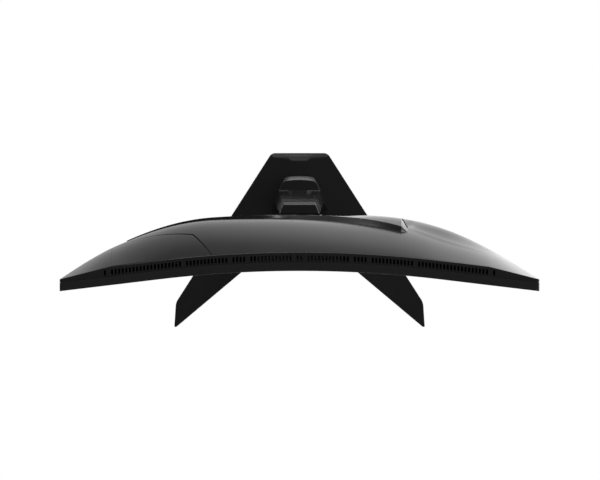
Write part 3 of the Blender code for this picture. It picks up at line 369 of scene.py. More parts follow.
@contextmanager
def edit_mode(piece):
    """Edit mode on one piece, with its mesh at hand."""
    activate(piece)
    bpy.ops.object.mode_set(mode="EDIT")
    yield bmesh.from_edit_mesh(piece.data)
    bpy.ops.object.mode_set(mode="OBJECT")


def pick(mesh, kind, wanted):
    """In edit mode, select only the parts of one kind that pass the test."""
    bpy.ops.mesh.select_all(action="DESELECT")
    bpy.ops.mesh.select_mode(type=kind)
    parts = {"VERT": mesh.verts, "EDGE": mesh.edges, "FACE": mesh.faces}[kind]
    for part in parts:
        part.select = wanted(part)
    mesh.select_flush_mode()


def extrude_all(move):
    """In edit mode, extrude everything; the new side stays selected."""
    bpy.ops.mesh.select_all(action="SELECT")
    bpy.ops.mesh.extrude_region_move(TRANSFORM_OT_translate={"value": move})


def bevel_edges(mesh, width, segments, wanted):
    """In edit mode, round the edges that pass the test."""
    pick(mesh, "EDGE", wanted)
    bpy.ops.mesh.bevel(offset=width, offset_type="OFFSET", segments=segments)


def upright(edge):
    return abs(edge.verts[0].co.z - edge.verts[1].co.z) > 0.001


def outwards(piece):
    """Close doubles and turn the faces outwards."""
    with edit_mode(piece):
        bpy.ops.mesh.select_all(action="SELECT")
        bpy.ops.mesh.remove_doubles(threshold=0.00002)
        bpy.ops.mesh.normals_make_consistent(inside=False)


def named(name):
    piece = bpy.context.object
    piece.name = name
    piece.data.name = name
    return piece


def settle(piece):
    """Put the piece's place, turn and scale into its mesh."""
    activate(piece)
    bpy.ops.object.transform_apply(location=True, rotation=True, scale=True)
    return piece


def block(name, low, high):
    deselect()
    centre = [(a + b) / 2 for a, b in zip(low, high)]
    span = [b - a for a, b in zip(low, high)]
    bpy.ops.mesh.primitive_cube_add(size=1.0, location=centre, scale=span)
    return settle(named(name))


def barrel(name, axis, centre, radius, low, high, sides=32):
    """A closed cylinder along an axis; centre holds its two other coordinates."""
    deselect()
    turn = {"X": (0, math.pi / 2, 0), "Y": (math.pi / 2, 0, 0), "Z": (0, 0, 0)}[axis]
    middle = (low + high) / 2
    place = {"X": (middle, *centre), "Y": (centre[0], middle, centre[1]), "Z": (*centre, middle)}[axis]
    bpy.ops.mesh.primitive_cylinder_add(vertices=sides, radius=radius, depth=high - low, location=place,
                                        rotation=turn)
    return settle(named(name))


def plate(name, outline, axis, low, high):
    """A flat outline drawn on a ring of points and extruded along an axis."""
    deselect()
    bpy.ops.mesh.primitive_circle_add(vertices=len(outline), radius=1.0, fill_type="NGON")
    piece = named(name)
    for vertex, (u, v) in zip(piece.data.vertices, outline):
        vertex.co = {"X": (low, u, v), "Y": (u, low, v), "Z": (u, v, low)}[axis]
    direction = Vector({"X": (1, 0, 0), "Y": (0, 1, 0), "Z": (0, 0, 1)}[axis])
    with edit_mode(piece):
        extrude_all(direction * (high - low))
    outwards(piece)
    return piece


def sheet_grid(name, columns, rows, corners):
    """A grid laid over four corners (x, z), in order: low left, low right, high right, high left."""
    deselect()
    bpy.ops.mesh.primitive_grid_add(x_subdivisions=columns, y_subdivisions=rows, size=1.0)
    piece = named(name)
    (ax, az), (bx, bz), (cx, cz), (dx, dz) = corners
    for vertex in piece.data.vertices:
        u, v = vertex.co.x + 0.5, vertex.co.y + 0.5
        low = (ax + (bx - ax) * u, az + (bz - az) * u)
        high = (dx + (cx - dx) * u, dz + (cz - dz) * u)
        vertex.co = (low[0] + (high[0] - low[0]) * v, 0.0, low[1] + (high[1] - low[1]) * v)
    return piece


def curved_slab(name, columns, rows, corners, near, far):
    """A slab between two surfaces y(x, z), over four corners."""
    piece = sheet_grid(name, columns, rows, corners)
    for vertex in piece.data.vertices:
        vertex.co.y = near(vertex.co.x, vertex.co.z)
    with edit_mode(piece) as mesh:
        extrude_all((0, 0.001, 0))
        for vert in mesh.verts:
            if vert.select:
                vert.co.y = far(vert.co.x, vert.co.z)
    outwards(piece)
    return piece


def apply_modifier(piece, kind, **values):
    modifier = piece.modifiers.new(kind.title(), kind)
    for name, value in values.items():
        setattr(modifier, name, value)
    activate(piece)
    bpy.ops.object.modifier_apply(modifier=modifier.name)
    return piece


def combine(piece, operation, *tools):
    for tool in tools:
        apply_modifier(piece, "BOOLEAN", operation=operation, object=tool, solver="EXACT")
        bpy.data.objects.remove(tool)
    return piece


def carve(piece, *tools):
    return combine(piece, "DIFFERENCE", *tools)


def soften(piece, width, segments=3, angle=32):
    """Round the piece's sharp edges."""
    return apply_modifier(piece, "BEVEL", width=width, segments=segments, limit_method="ANGLE",
                          angle_limit=math.radians(angle), use_clamp_overlap=True, harden_normals=False)


def gather(name, pieces):
    """Join separate solids into one piece."""
    deselect()
    for piece in pieces:
        piece.select_set(True)
    bpy.context.view_layer.objects.active = pieces[0]
    if len(pieces) > 1:
        bpy.ops.object.join()
    return named(name)


def copy_of(piece, name, move):
    twin = piece.copy()
    twin.data = piece.data.copy()
    twin.name = name
    twin.data.name = name
    bpy.context.scene.collection.objects.link(twin)
    twin.data.transform(Matrix.Translation(move))
    return twin


def complete(piece, body, slot, material, *nodes, angle=35):
    """Shade and paint a piece, tie it to its body and let it stand for its CAD nodes."""
    activate(piece)
    bpy.ops.object.shade_smooth_by_angle(angle=math.radians(angle))
    apply_modifier(piece, "WEIGHTED_NORMAL", keep_sharp=True)
    piece.data.materials.clear()
    piece.data.materials.append(material)
    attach(piece, body)
    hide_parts(*nodes)
    return piece


def paint(name, material):
    """Give a carried-over CAD node its finish."""
    piece = NODES[name]
    piece.data.materials.clear()
    piece.data.materials.append(material)


# ---------------- shader groups

def new_group(name, inputs, outputs):
    group = bpy.data.node_groups.new(name, "ShaderNodeTree")
    for label, kind, value in inputs:
        socket = group.interface.new_socket(name=label, in_out="INPUT", socket_type=kind)
        socket.default_value = value
    for label, kind in outputs:
        group.interface.new_socket(name=label, in_out="OUTPUT", socket_type=kind)
    return group, group.nodes.new("NodeGroupInput"), group.nodes.new("NodeGroupOutput")


def add_node(tree, kind, inputs=None, **values):
    node = tree.nodes.new(kind)
    for name, value in values.items():
        setattr(node, name, value)
    for name, value in (inputs or {}).items():
        if isinstance(value, bpy.types.NodeSocket):
            tree.links.new(value, node.inputs[name])
        else:
            node.inputs[name].default_value = value
    return node


def object_place(tree):
    return tree.nodes.new("ShaderNodeTexCoord").outputs["Object"]


def noise(tree, place, scale, **more):
    return add_node(tree, "ShaderNodeTexNoise", {"Vector": place, "Scale": scale, **more}).outputs[0]


def multiply_vectors(tree, first, second):
    return add_node(tree, "ShaderNodeVectorMath", {0: first, 1: second}, operation="MULTIPLY").outputs[0]


def mix_colour(tree, factor, first, second):
    return add_node(tree, "ShaderNodeMix", {0: factor, 6: first, 7: second}, data_type="RGBA").outputs[2]


def mix_values(tree, factor, first, second):
    return add_node(tree, "ShaderNodeMix", {0: factor, 2: first, 3: second}, data_type="FLOAT").outputs[0]


def remap(tree, value, low, high, to_low, to_high):
    return add_node(tree, "ShaderNodeMapRange", {"Value": value, "From Min": low, "From Max": high,
                                                "To Min": to_low, "To Max": to_high}).outputs[0]


def maths(tree, operation, first, second=0.0):
    return add_node(tree, "ShaderNodeMath", {0: first, 1: second}, operation=operation).outputs[0]


def grain_group():
    """Moulded-in grain: fine pits for the bump, and slow drifts of tone and gloss."""
    group, given, result = new_group(
        "moulded_grain",
        [("Colour", "NodeSocketColor", (0.01, 0.01, 0.01, 1)), ("Grain per metre", "NodeSocketFloat", 1400.0),
         ("Gloss", "NodeSocketFloat", 0.5), ("Gloss drift", "NodeSocketFloat", 0.06),
         ("Tone drift", "NodeSocketFloat", 0.12)],
        [("Colour", "NodeSocketColor"), ("Roughness", "NodeSocketFloat"), ("Height", "NodeSocketFloat")])
    place = object_place(group)
    pits = noise(group, place, given.outputs[1], Detail=3.0, Roughness=0.65)
    cells = add_node(group, "ShaderNodeTexVoronoi", {"Vector": place, "Scale": given.outputs[1]}).outputs[0]
    slow = noise(group, place, 14.0, Detail=4.0)
    drift = remap(group, slow, 0.25, 0.75, -1.0, 1.0)
    group.links.new(maths(group, "ADD", given.outputs[2], maths(group, "MULTIPLY", drift, given.outputs[3])),
                    result.inputs[1])
    group.links.new(maths(group, "ADD", pits, maths(group, "MULTIPLY", cells, 0.4)), result.inputs[2])
    spread = maths(group, "MULTIPLY", remap(group, slow, 0.25, 0.75, 0.0, 1.0), given.outputs[4])
    fine = maths(group, "ADD", spread, maths(group, "MULTIPLY", pits, given.outputs[4]))
    pale = multiply_vectors(group, given.outputs[0], (1.7, 1.7, 1.7))
    group.links.new(mix_colour(group, fine, given.outputs[0], pale), result.inputs[0])
    return group


def brushed_group():
    """Long fine streaks of rolled or turned metal."""
    group, given, result = new_group(
        "rolled_streaks",
        [("Colour", "NodeSocketColor", (0.5, 0.5, 0.5, 1)), ("Streaks", "NodeSocketVector", (30, 900, 900)),
         ("Gloss", "NodeSocketFloat", 0.3)],
        [("Colour", "NodeSocketColor"), ("Roughness", "NodeSocketFloat"), ("Height", "NodeSocketFloat")])
    place = object_place(group)
    lines = noise(group, multiply_vectors(group, place, given.outputs[1]), 1.0, Detail=3.0)
    clouds = noise(group, place, 60.0, Detail=2.0)
    wear = maths(group, "ADD", maths(group, "MULTIPLY", lines, 0.18), maths(group, "MULTIPLY", clouds, 0.12))
    group.links.new(maths(group, "ADD", given.outputs[2], wear), result.inputs[1])
    group.links.new(lines, result.inputs[2])
    dull = multiply_vectors(group, given.outputs[0], (0.72, 0.72, 0.74))
    group.links.new(mix_colour(group, lines, given.outputs[0], dull), result.inputs[0])
    return group


# ---------------- finishes

def new_material(name):
    material = bpy.data.materials.new(name)
    material.use_nodes = True
    tree = material.node_tree
    return material, tree, tree.nodes["Principled BSDF"]


def use_group(tree, name, **inputs):
    node = tree.nodes.new("ShaderNodeGroup")
    node.node_tree = bpy.data.node_groups[name]
    for label, value in inputs.items():
        node.inputs[label.replace("_", " ")].default_value = value
    return node


def add_relief(tree, shader, height, strength, distance):
    relief = add_node(tree, "ShaderNodeBump", {"Strength": strength, "Distance": distance, "Height": height})
    tree.links.new(relief.outputs["Normal"], shader.inputs["Normal"])


def surface(tree, shader, group, bump, distance):
    """Lead a group's colour, roughness and height to the shader."""
    tree.links.new(group.outputs["Colour"], shader.inputs["Base Color"])
    tree.links.new(group.outputs["Roughness"], shader.inputs["Roughness"])
    add_relief(tree, shader, group.outputs["Height"], bump, distance)


def moulded(name, colour, gloss, grain=1400.0, bump=0.25, depth=0.00004, drift=0.05):
    """Moulded plastic or rubber, with its grain."""
    material, tree, shader = new_material(name)
    group = use_group(tree, "moulded_grain", Colour=(*colour, 1), Grain_per_metre=grain, Gloss=gloss,
                      Gloss_drift=drift)
    surface(tree, shader, group, bump, depth)
    return material


def metal(name, colour, gloss, streaks=(40, 900, 900), bump=0.15):
    material, tree, shader = new_material(name)
    shader.inputs["Metallic"].default_value = 1.0
    group = use_group(tree, "rolled_streaks", Colour=(*colour, 1), Streaks=streaks, Gloss=gloss)
    surface(tree, shader, group, bump, 0.00003)
    return material


def clear(name, colour, gloss, transmission, grain, bump, depth, drift):
    """Milky plastic that lets some light through."""
    material, tree, shader = new_material(name)
    group = use_group(tree, "moulded_grain", Colour=(*colour, 1), Grain_per_metre=grain, Gloss=gloss,
                      Tone_drift=drift)
    surface(tree, shader, group, bump, depth)
    shader.inputs["Transmission Weight"].default_value = transmission
    return material


SCREEN_BORDER = 0.0085          # from the outside of the head to the lit area


def screen_finish():
    """Matt-coated screen: a black border and a faint grid of cells in the lit area."""
    material, tree, shader = new_material("screen_coating")
    place = object_place(tree)
    parts = add_node(tree, "ShaderNodeSeparateXYZ", {0: place})
    side = maths(tree, "LESS_THAN", maths(tree, "ABSOLUTE", parts.outputs[0]), HEAD_HALF - SCREEN_BORDER)
    above = maths(tree, "GREATER_THAN", parts.outputs[2], CHIN_TOP + 0.0045)
    below = maths(tree, "LESS_THAN", parts.outputs[2], HEAD_TOP - SCREEN_BORDER)
    lit = maths(tree, "MULTIPLY", side, maths(tree, "MULTIPLY", above, below))
    cells = noise(tree, place, 2600.0, Detail=1.0)
    tone = mix_colour(tree, cells, (0.0075, 0.0078, 0.0090, 1), (0.0100, 0.0104, 0.0120, 1))
    tree.links.new(mix_colour(tree, lit, (0.0025, 0.0025, 0.0028, 1), tone), shader.inputs["Base Color"])
    haze = noise(tree, place, 7.0, Detail=3.0)
    tree.links.new(remap(tree, haze, 0.3, 0.7, 0.24, 0.32), shader.inputs["Roughness"])
    add_relief(tree, shader, cells, 0.08, 0.00002)
    return material


def board_finish():
    """Solder mask over copper: tracks, pads and a grain of fibre."""
    material, tree, shader = new_material("solder_mask")
    place = object_place(tree)
    tracks = add_node(tree, "ShaderNodeTexBrick", {"Vector": place, "Scale": 170.0, "Mortar Size": 0.03,
                                                   "Color1": (0, 0, 0, 1), "Color2": (0.2, 0.2, 0.2, 1),
                                                   "Mortar": (1, 1, 1, 1)}).outputs[0]
    fibre = noise(tree, place, 900.0)
    mask = colours().board
    copper = mix_colour(tree, tracks, (*mask, 1), (mask[0] * 2, mask[1] * 1.9, mask[2] * 1.7, 1))
    tree.links.new(mix_colour(tree, maths(tree, "MULTIPLY", fibre, 0.3), copper, (0.02, 0.1, 0.06, 1)),
                   shader.inputs["Base Color"])
    tree.links.new(remap(tree, tracks, 0.0, 1.0, 0.32, 0.45), shader.inputs["Roughness"])
    add_relief(tree, shader, tracks, 0.4, 0.00005)
    return material


FINISH_MAKERS = {
    "housing": lambda: moulded("housing_plastic", colours().housing, 0.22),
    "trim": lambda: moulded("trim_plastic", colours().housing, 0.38, grain=2200.0, bump=0.15),
    "stand": lambda: moulded("stand_plastic", colours().stand, 0.12, grain=1500.0, bump=0.04),
    "base": lambda: moulded("base_paint", colours().base, 0.40, grain=1700.0, bump=0.2),
    "socket": lambda: moulded("contact_plastic", (0.012, 0.012, 0.013), 0.42, grain=3000.0, bump=0.1),
    "rubber": lambda: moulded("foot_rubber", (0.018, 0.018, 0.018), 0.82, grain=900.0, bump=0.4),
    "cable": lambda: moulded("cable_jacket", (0.62, 0.60, 0.54), 0.5, grain=600.0, bump=0.3),
    "steel": lambda: metal("plated_steel", colours().steel, 0.22),
    "black_steel": lambda: metal("black_steel", (0.05, 0.05, 0.052), 0.34),
    "turned": lambda: metal("turned_steel", colours().steel, 0.18, streaks=(700, 60, 700)),
    "board": board_finish,
    "screen": screen_finish,
    "film": lambda: clear("diffuser_film", (0.72, 0.74, 0.76), 0.35, 0.3, grain=5000.0, bump=0.2,
                          depth=0.00002, drift=0.04),
    "light_pipe": lambda: clear("light_pipe", (0.75, 0.76, 0.78), 0.22, 0.5, grain=4000.0, bump=0.1,
                                depth=0.00001, drift=0.05),
}
FINISHES = {}


def finish(name):
    """One of the finishes, made when it is first asked for."""
    if name not in FINISHES:
        FINISHES[name] = FINISH_MAKERS[name]()
    return FINISHES[name]


# ---------------- head

def head_corners(low, high, half=None):
    half = HEAD_HALF if half is None else half
    return ((-half, low), (half, low), (half, high), (-half, high))


SLOT_GROUPS = ((0, 0), (2, 13), (15, 18), (20, 31), (33, 52), (54, 54))
SLOT_SET_BACK = 0.0116
SLOT_ROUND = 0.85               # rounding of a slot's ends, as a share of half its width


def vent_tool():
    """Every slot in the top of the rim, joined as one tool."""
    detail = sizes()
    half_width, half_length = detail.slot_width / 2, detail.slot_length / 2
    first = block("slot", (-half_width, -half_length, HEAD_TOP - 0.006),
                  (half_width, half_length, HEAD_TOP + 0.002))
    with edit_mode(first) as mesh:
        bevel_edges(mesh, half_width * SLOT_ROUND, 4, upright)
    slots = []
    for low, high in SLOT_GROUPS:
        for index in range(low, high + 1):
            x = (index + 0.5) * detail.slot_pitch
            if x > HEAD_HALF - RIM_TAPER + 2 * detail.slot_pitch:
                continue
            y = front_edge(x) + SLOT_SET_BACK + half_length
            slots += [copy_of(first, "slot", (side * x, y, 0)) for side in (-1, 1)]
    bpy.data.objects.remove(first)
    return gather("slots", slots)


def wing_corners(seam=0.0):
    """Corners (x, z) of the panel let into the left of the upper slope, grown by a seam."""
    inner = -WING_INNER + seam
    high = HEAD_TOP - WING_TOP_DROP + seam
    return [(-WING_OUTER, HEAD_TOP - WING_OUTER_DROP - seam),
            (inner - WING_SLANT, HEAD_TOP - WING_INNER_DROP - seam), (inner, high), (-WING_OUTER, high)]


def recess_tool():
    """Square opening with rounded corners where the stand enters."""
    tool = block("recess", (-RECESS_HALF, -0.05, AXIS_Z - RECESS_HALF),
                 (RECESS_HALF, 0.1, AXIS_Z + RECESS_HALF))
    with edit_mode(tool) as mesh:
        bevel_edges(mesh, RECESS_ROUND, 5, lambda edge: abs(edge.verts[0].co.y - edge.verts[1].co.y) > 0.1)
    return tool


def bay_tool():
    return block("bay", (BAY_LOW.x - GAP, BAY_LOW.y - GAP, HEAD_BOTTOM + 0.016 - GAP),
                 (BAY_HIGH.x + GAP, 0.06, BAY_HIGH.z + GAP))


WARP_REACH = 0.05


def warp_to_panel_end(piece):
    """Bring two neighbouring columns to the riser beside the middle panel's slanted end."""
    columns = sorted({round(vertex.co.x, 6) for vertex in piece.data.vertices})
    nearest = min(range(len(columns)), key=lambda index: abs(columns[index] - PANEL_RIGHT_END))
    targets = {columns[nearest]: PANEL_RIGHT_END + END_CLEAR,
               columns[nearest + 1]: PANEL_RIGHT_END + END_CLEAR + RISER}
    for vertex in piece.data.vertices:
        x = targets.get(round(vertex.co.x, 6), vertex.co.x)
        near = max(0.0, 1 - abs(x - PANEL_RIGHT_END) / WARP_REACH)
        vertex.co.x = x + (panel_end(vertex.co.z) - PANEL_RIGHT_END) * near


def sharp_outside(mesh, least):
    """Select the sharp edges that aren't on the front of the shell."""
    seam = sizes().seam_depth + GAP + 0.0005
    mesh.normal_update()
    pick(mesh, "EDGE", lambda edge: len(edge.link_faces) == 2
         and edge.calc_face_angle(0.0) > math.radians(least)
         and all(v.co.y > front_edge(v.co.x) + seam for v in edge.verts)
         and any(abs(v.co.z - HEAD_TOP) < 1e-4 or abs(v.co.z - HEAD_BOTTOM) < 1e-4
                 or abs(abs(v.co.x) - HEAD_HALF) < 1e-4 for v in edge.verts))


def round_head_corners(piece, ends):
    """Round the corners of the head as seen from the front."""
    with edit_mode(piece) as mesh:
        bevel_edges(mesh, sizes().corner_round, 4, lambda edge: all(
            abs(abs(v.co.x) - HEAD_HALF) < 1e-5 and min(abs(v.co.z - end) for end in ends) < 1e-5
            for v in edge.verts))


def make_rear_cover():
    """The one-piece back of the head: curved skin, flat rim, hollow, then its openings."""
    detail = sizes()
    seam = detail.seam_depth + GAP
    cover = sheet_grid("rear_cover_skin", detail.columns, detail.rows, head_corners(HEAD_BOTTOM, HEAD_TOP))
    warp_to_panel_end(cover)
    for vertex in cover.data.vertices:
        vertex.co.y = front_edge(vertex.co.x) + seam
    with edit_mode(cover) as mesh:
        extrude_all((0, 0.001, 0))
        for vert in mesh.verts:
            if vert.select:
                vert.co.y = skin(vert.co.x, vert.co.z)
    outwards(cover)
    round_head_corners(cover, (HEAD_TOP, HEAD_BOTTOM))
    with edit_mode(cover) as mesh:
        sharp_outside(mesh, 20)
        bpy.ops.mesh.bevel(offset=detail.edge_round, offset_type="OFFSET", segments=2)
    wall = detail.wall
    inner = HEAD_HALF - wall
    carve(cover,
          curved_slab("hollow", 90, 48, head_corners(HEAD_BOTTOM + wall, HEAD_TOP - wall, inner),
                      behind(), lambda x, z: skin(x, z, wall)),
          curved_slab("rebate", 90, 1, head_corners(HEAD_BOTTOM + REBATE, HEAD_TOP - REBATE,
                                                    HEAD_HALF - REBATE),
                      behind(), behind(seam, TONGUE_LENGTH, GAP)))
    gap = detail.wing_seam
    carve(cover, curved_slab("seat", 70, 24, wing_corners(gap),
                             lambda x, z: skin(x, z, WING_THICK + WING_DIP + gap),
                             lambda x, z: skin(x, z, -0.01)))
    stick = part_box("joystick_cap")
    centre = ((stick[0].x + stick[1].x) / 2, (stick[0].z + stick[1].z) / 2)
    skin_here = skin(*centre)
    carve(cover, vent_tool(), recess_tool(), bay_tool(), button_tool(),
          barrel("stick_hole", "Y", centre, STICK_HOLE_RADIUS, skin_here - 0.012, skin_here + 0.02, 40))
    complete(cover, "screen", "housing_plastic", finish("housing"), "rear_cover", angle=28)


def button_tool():
    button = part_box("power_button")
    place = ((button[0].x + button[1].x) / 2, (button[0].y + button[1].y) / 2)
    return barrel("button_hole", "Z", place, BUTTON_HOLE_RADIUS, HEAD_BOTTOM - 0.01, HEAD_BOTTOM + 0.0055, 36)


def make_wing_panel():
    """The thin panel let into the left of the upper slope, sinking towards its inner end."""
    def top(x, z):
        return skin(x, z, WING_DIP * blend(*WING_DIPS, x))

    wing = curved_slab("wing_cover", 90, 28, wing_corners(),
                       lambda x, z: skin(x, z, WING_THICK + WING_DIP), top)
    soften(wing, 0.00025, 2, 50)
    complete(wing, "screen", "housing_plastic", finish("housing"), "wing_panel_left", "wing_panel_right")


EDGE_SLOPES = ((-0.30, 0.03), (-0.062, 0.06), (-0.034, 0.55), (-0.010, 1.15), (0.0, 1.2), (0.05, 1.0),
               (0.09, 0.72), (0.122, 0.42), (0.14, 0.36))


def edge_slope(x):
    """Height lost for each metre that the panel's top edge comes out, at x."""
    for (x_low, low), (x_high, high) in zip(EDGE_SLOPES, EDGE_SLOPES[1:]):
        if x <= x_high:
            return low + (high - low) * (x - x_low) / (x_high - x_low)
    return EDGE_SLOPES[-1][1]


def panel_top(x):
    """Height at which the panel's edge leaves the cover."""
    rise = PANEL_RISE * (max(0.0, x) / PANEL_RIGHT) ** 1.5
    return min(MIDDLE_HIGH.z + rise + edge_slope(x) * step_depth(x), HEAD_TOP - 0.01)


def panel_outer(x, z):
    """Outer face of the middle panel, with its sloping top edge."""
    top = panel_top(x)
    return min(upper_skin(x, z), lower_skin(x, top) + (top - z) / edge_slope(x) + GAP)


def panel_inner(x, z):
    return min(lower_skin(x, z) + 0.5 * GAP, panel_outer(x, z) - 0.5 * GAP)


ROW_CROWDING = 2.4              # the panel's rows lie closer together towards its top edge
NARROWS_AT = (0.30, 0.37)       # its outer face draws back from the right end between these heights


def make_middle_panel():
    """The raised panel around the stand, with slanted ends and a sloping top edge."""
    low = MIDDLE_LOW.z
    width = PANEL_RIGHT_END + PANEL_LEFT
    panel = sheet_grid("middle_panel", 170, 100, ((0, 0), (1, 0), (1, 1), (0, 1)))
    for vertex in panel.data.vertices:
        u, height = vertex.co.x, 1 - (1 - vertex.co.z) ** ROW_CROWDING
        z = low + (panel_top(-PANEL_LEFT + width * u) - low) * height
        inset = slant(z)
        vertex.co = (-PANEL_LEFT + inset + (width - 2 * inset) * u, 0, z)
    with edit_mode(panel):
        extrude_all((0, 0.02, 0))
    outwards(panel)
    carve(panel, recess_tool())
    for vertex in panel.data.vertices:
        x, y, z = vertex.co
        if y > 0.01:
            narrowing = max(0.0, x) / PANEL_RIGHT_END * (PANEL_RIGHT_END - PANEL_RIGHT_TOP)
            x -= narrowing * blend(*NARROWS_AT, z)
            vertex.co = (x, panel_outer(x, z), z)
        else:
            vertex.co.y = panel_inner(x, z)
    complete(panel, "screen", "housing_plastic", finish("housing"), "hump_panel", angle=25)


def tongue(low, high, open_end):
    """Thin wall behind the bezel that the rear cover slides over."""
    seam = sizes().seam_depth
    outer = REBATE + GAP
    inner = BEZEL_WIDTH
    low_outer, high_outer = (low, high - outer) if open_end == "low" else (low + outer, high)
    low_inner, high_inner = (low - 0.01, high - inner) if open_end == "low" else (low + inner, high + 0.01)
    ring = curved_slab("tongue", 110, 1, head_corners(low_outer, high_outer, HEAD_HALF - outer),
                       behind(seam, -0.002), behind(seam, TONGUE_LENGTH))
    return carve(ring, curved_slab("hole", 110, 1, head_corners(low_inner, high_inner, HEAD_HALF - inner),
                                   behind(-0.01), behind(0.03)))


def make_bezel():
    """Thin frame on three sides of the screen and the chin below it."""
    depth = sizes().seam_depth
    opening = HEAD_HALF - BEZEL_WIDTH

    def bar(name, low, high, end):
        slab = curved_slab(name, 110, 1, head_corners(low, high), behind(), behind(depth))
        round_head_corners(slab, (end,))
        return slab

    bezel = bar("bezel_frame", CHIN_TOP + GAP, HEAD_TOP, HEAD_TOP)
    carve(bezel, curved_slab("hole", 110, 1, head_corners(CHIN_TOP - 0.01, HEAD_TOP - BEZEL_WIDTH, opening),
                             behind(-0.002), behind(0.02)))
    soften(bezel, 0.0004, 2, 50)
    bezel = gather("bezel_frame", [bezel, tongue(CHIN_TOP + GAP, HEAD_TOP, "low")])
    complete(bezel, "screen", "trim_plastic", finish("trim"), "front_bezel")

    chin = bar("chin_bar", HEAD_BOTTOM, CHIN_TOP, HEAD_BOTTOM)
    carve(chin, curved_slab("hole", 110, 1,
                            head_corners(HEAD_BOTTOM + 0.0025, CHIN_TOP + 0.01, opening - 0.001),
                            behind(0.006), behind(0.03)))
    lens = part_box("power_led_lens")
    carve(chin, block("lens_hole", lens[0] - Vector((GAP, 0.01, GAP)), lens[1] + Vector((GAP, 0.02, GAP))))
    soften(chin, 0.0003, 2, 50)
    chin_tongue = carve(tongue(HEAD_BOTTOM, CHIN_TOP, "high"), button_tool())
    chin = gather("chin_bar", [chin, chin_tongue])
    complete(chin, "screen", "trim_plastic", finish("trim"), "chin_strip")


# ---------------- stand

def hexagon():
    """Outline (x, z) of the cable hole."""
    rise = HOLE_HEIGHT / 2
    flat = HOLE_HALF * HOLE_FLAT
    middle = LEDGE_Z + HOLE_ABOVE_LEDGE + rise
    corners = ((HOLE_HALF, 0), (flat, rise), (-flat, rise), (-HOLE_HALF, 0), (-flat, -rise), (flat, -rise))
    return [(x, middle + z) for x, z in corners]


def widen_neck(piece, inset=0.0):
    for vertex in piece.data.vertices:
        vertex.co.x *= neck_half(vertex.co.y, vertex.co.z, inset)


def slice_neck(piece):
    """Put edge loops where the neck's sides change direction."""
    with edit_mode(piece):
        for place, normal in (((0, NECK_REAR_LOW, 0), (0, 1, 0)), ((0, 0, LEDGE_Z), (0, 0, 1))):
            bpy.ops.mesh.select_all(action="SELECT")
            bpy.ops.mesh.bisect(plane_co=place, plane_no=normal)


def make_neck():
    """Column and foot: the rear shell with its ledge and cable hole. The front cover keeps its shape."""
    floor = BASE_TOP + GAP
    outline = [(FOOT_FRONT, floor), (FOOT_REAR, floor), (FOOT_REAR, LEDGE_Z - FOOT_CHAMFER[1]),
               (FOOT_REAR - FOOT_CHAMFER[0], LEDGE_Z), (neck_rear(LEDGE_Z), LEDGE_Z),
               (neck_rear(NECK_TOP), NECK_TOP), (neck_front(NECK_TOP), NECK_TOP),
               (neck_front(LEDGE_Z + 0.03), LEDGE_Z + 0.03)]
    shell = plate("column_shell", outline, "X", -1.0, 1.0)
    slice_neck(shell)
    widen_neck(shell)
    with edit_mode(shell) as mesh:
        bevel_edges(mesh, 0.0042, 5, lambda edge: all(
            v.co.z > NECK_TOP - 0.001 and v.co.y > neck_rear(NECK_TOP) - 0.001 for v in edge.verts))
        bevel_edges(mesh, 0.0028, 4, lambda edge: upright(edge) and all(
            v.co.y > FOOT_REAR - FOOT_CHAMFER[0] - 0.001 for v in edge.verts))
        for x in (-0.012, -0.006, 0.0, 0.006, 0.012):
            bpy.ops.mesh.select_all(action="SELECT")
            bpy.ops.mesh.bisect(plane_co=(x, 0, 0), plane_no=(1, 0, 0))
    for vertex in shell.data.vertices:
        if vertex.co.y > FOOT_REAR - FOOT_CHAMFER[0] - 0.002:
            vertex.co.y -= FOOT_BOW * vertex.co.x ** 2
    soften(shell, 0.0012, 3, 30)
    inner_top = NECK_TOP - NECK_WALL * 1.6
    inner_ledge = LEDGE_Z - NECK_WALL - FOOT_CHAMFER[1]
    inner_front = FOOT_FRONT - 0.04
    inner_rear = FOOT_REAR - NECK_WALL - 0.002
    hollow = plate("hollow", [(inner_front, floor - 0.01), (inner_rear, floor - 0.01),
                              (inner_rear, inner_ledge), (neck_rear(LEDGE_Z) - NECK_WALL, inner_ledge),
                              (neck_rear(inner_top) - NECK_WALL, inner_top), (inner_front, inner_top)],
                   "X", -1.0, 1.0)
    slice_neck(hollow)
    widen_neck(hollow, NECK_WALL)
    carve(shell, hollow, plate("hole", hexagon(), "Y", 0.03, 0.09))
    complete(shell, "stand", "stand_plastic", finish("stand"), "neck_rear_shell", angle=40)
    paint("neck_front_cover", finish("stand"))


def crossing(first, second):
    """Point where two lines (a, b, c) with a x + b y = c meet."""
    scale = first[0] * second[1] - second[0] * first[1]
    return ((first[2] * second[1] - second[2] * first[1]) / scale,
            (first[0] * second[2] - second[0] * first[2]) / scale)


def line_through(start, end, inset):
    """Line from start to end with the body on its left, moved inwards by the inset."""
    length = math.dist(start, end)
    normal = ((start[1] - end[1]) / length, (end[0] - start[0]) / length)
    return (*normal, normal[0] * start[0] + normal[1] * start[1] + inset)


BASE_REAR = 0.1150
BASE_FRONT = -0.1150
BASE_REAR_HALF = 0.037
KNEE_Y = -0.0826
KNEE_HALF = 0.1635
TIP_HALF = 0.1656
TIP_INNER = 0.1628
CROTCH_Y = 0.0217
CROTCH_FLAT = 0.014
SCREW_Y = 0.070
SCREW_HOLE_RADIUS = 0.0033
POCKET_WALL = 0.0022            # beside the steel plate; behind and before it the wall is thicker
POCKET_REAR_WALLS = 4
POCKET_FRONT_WALLS = 4.5


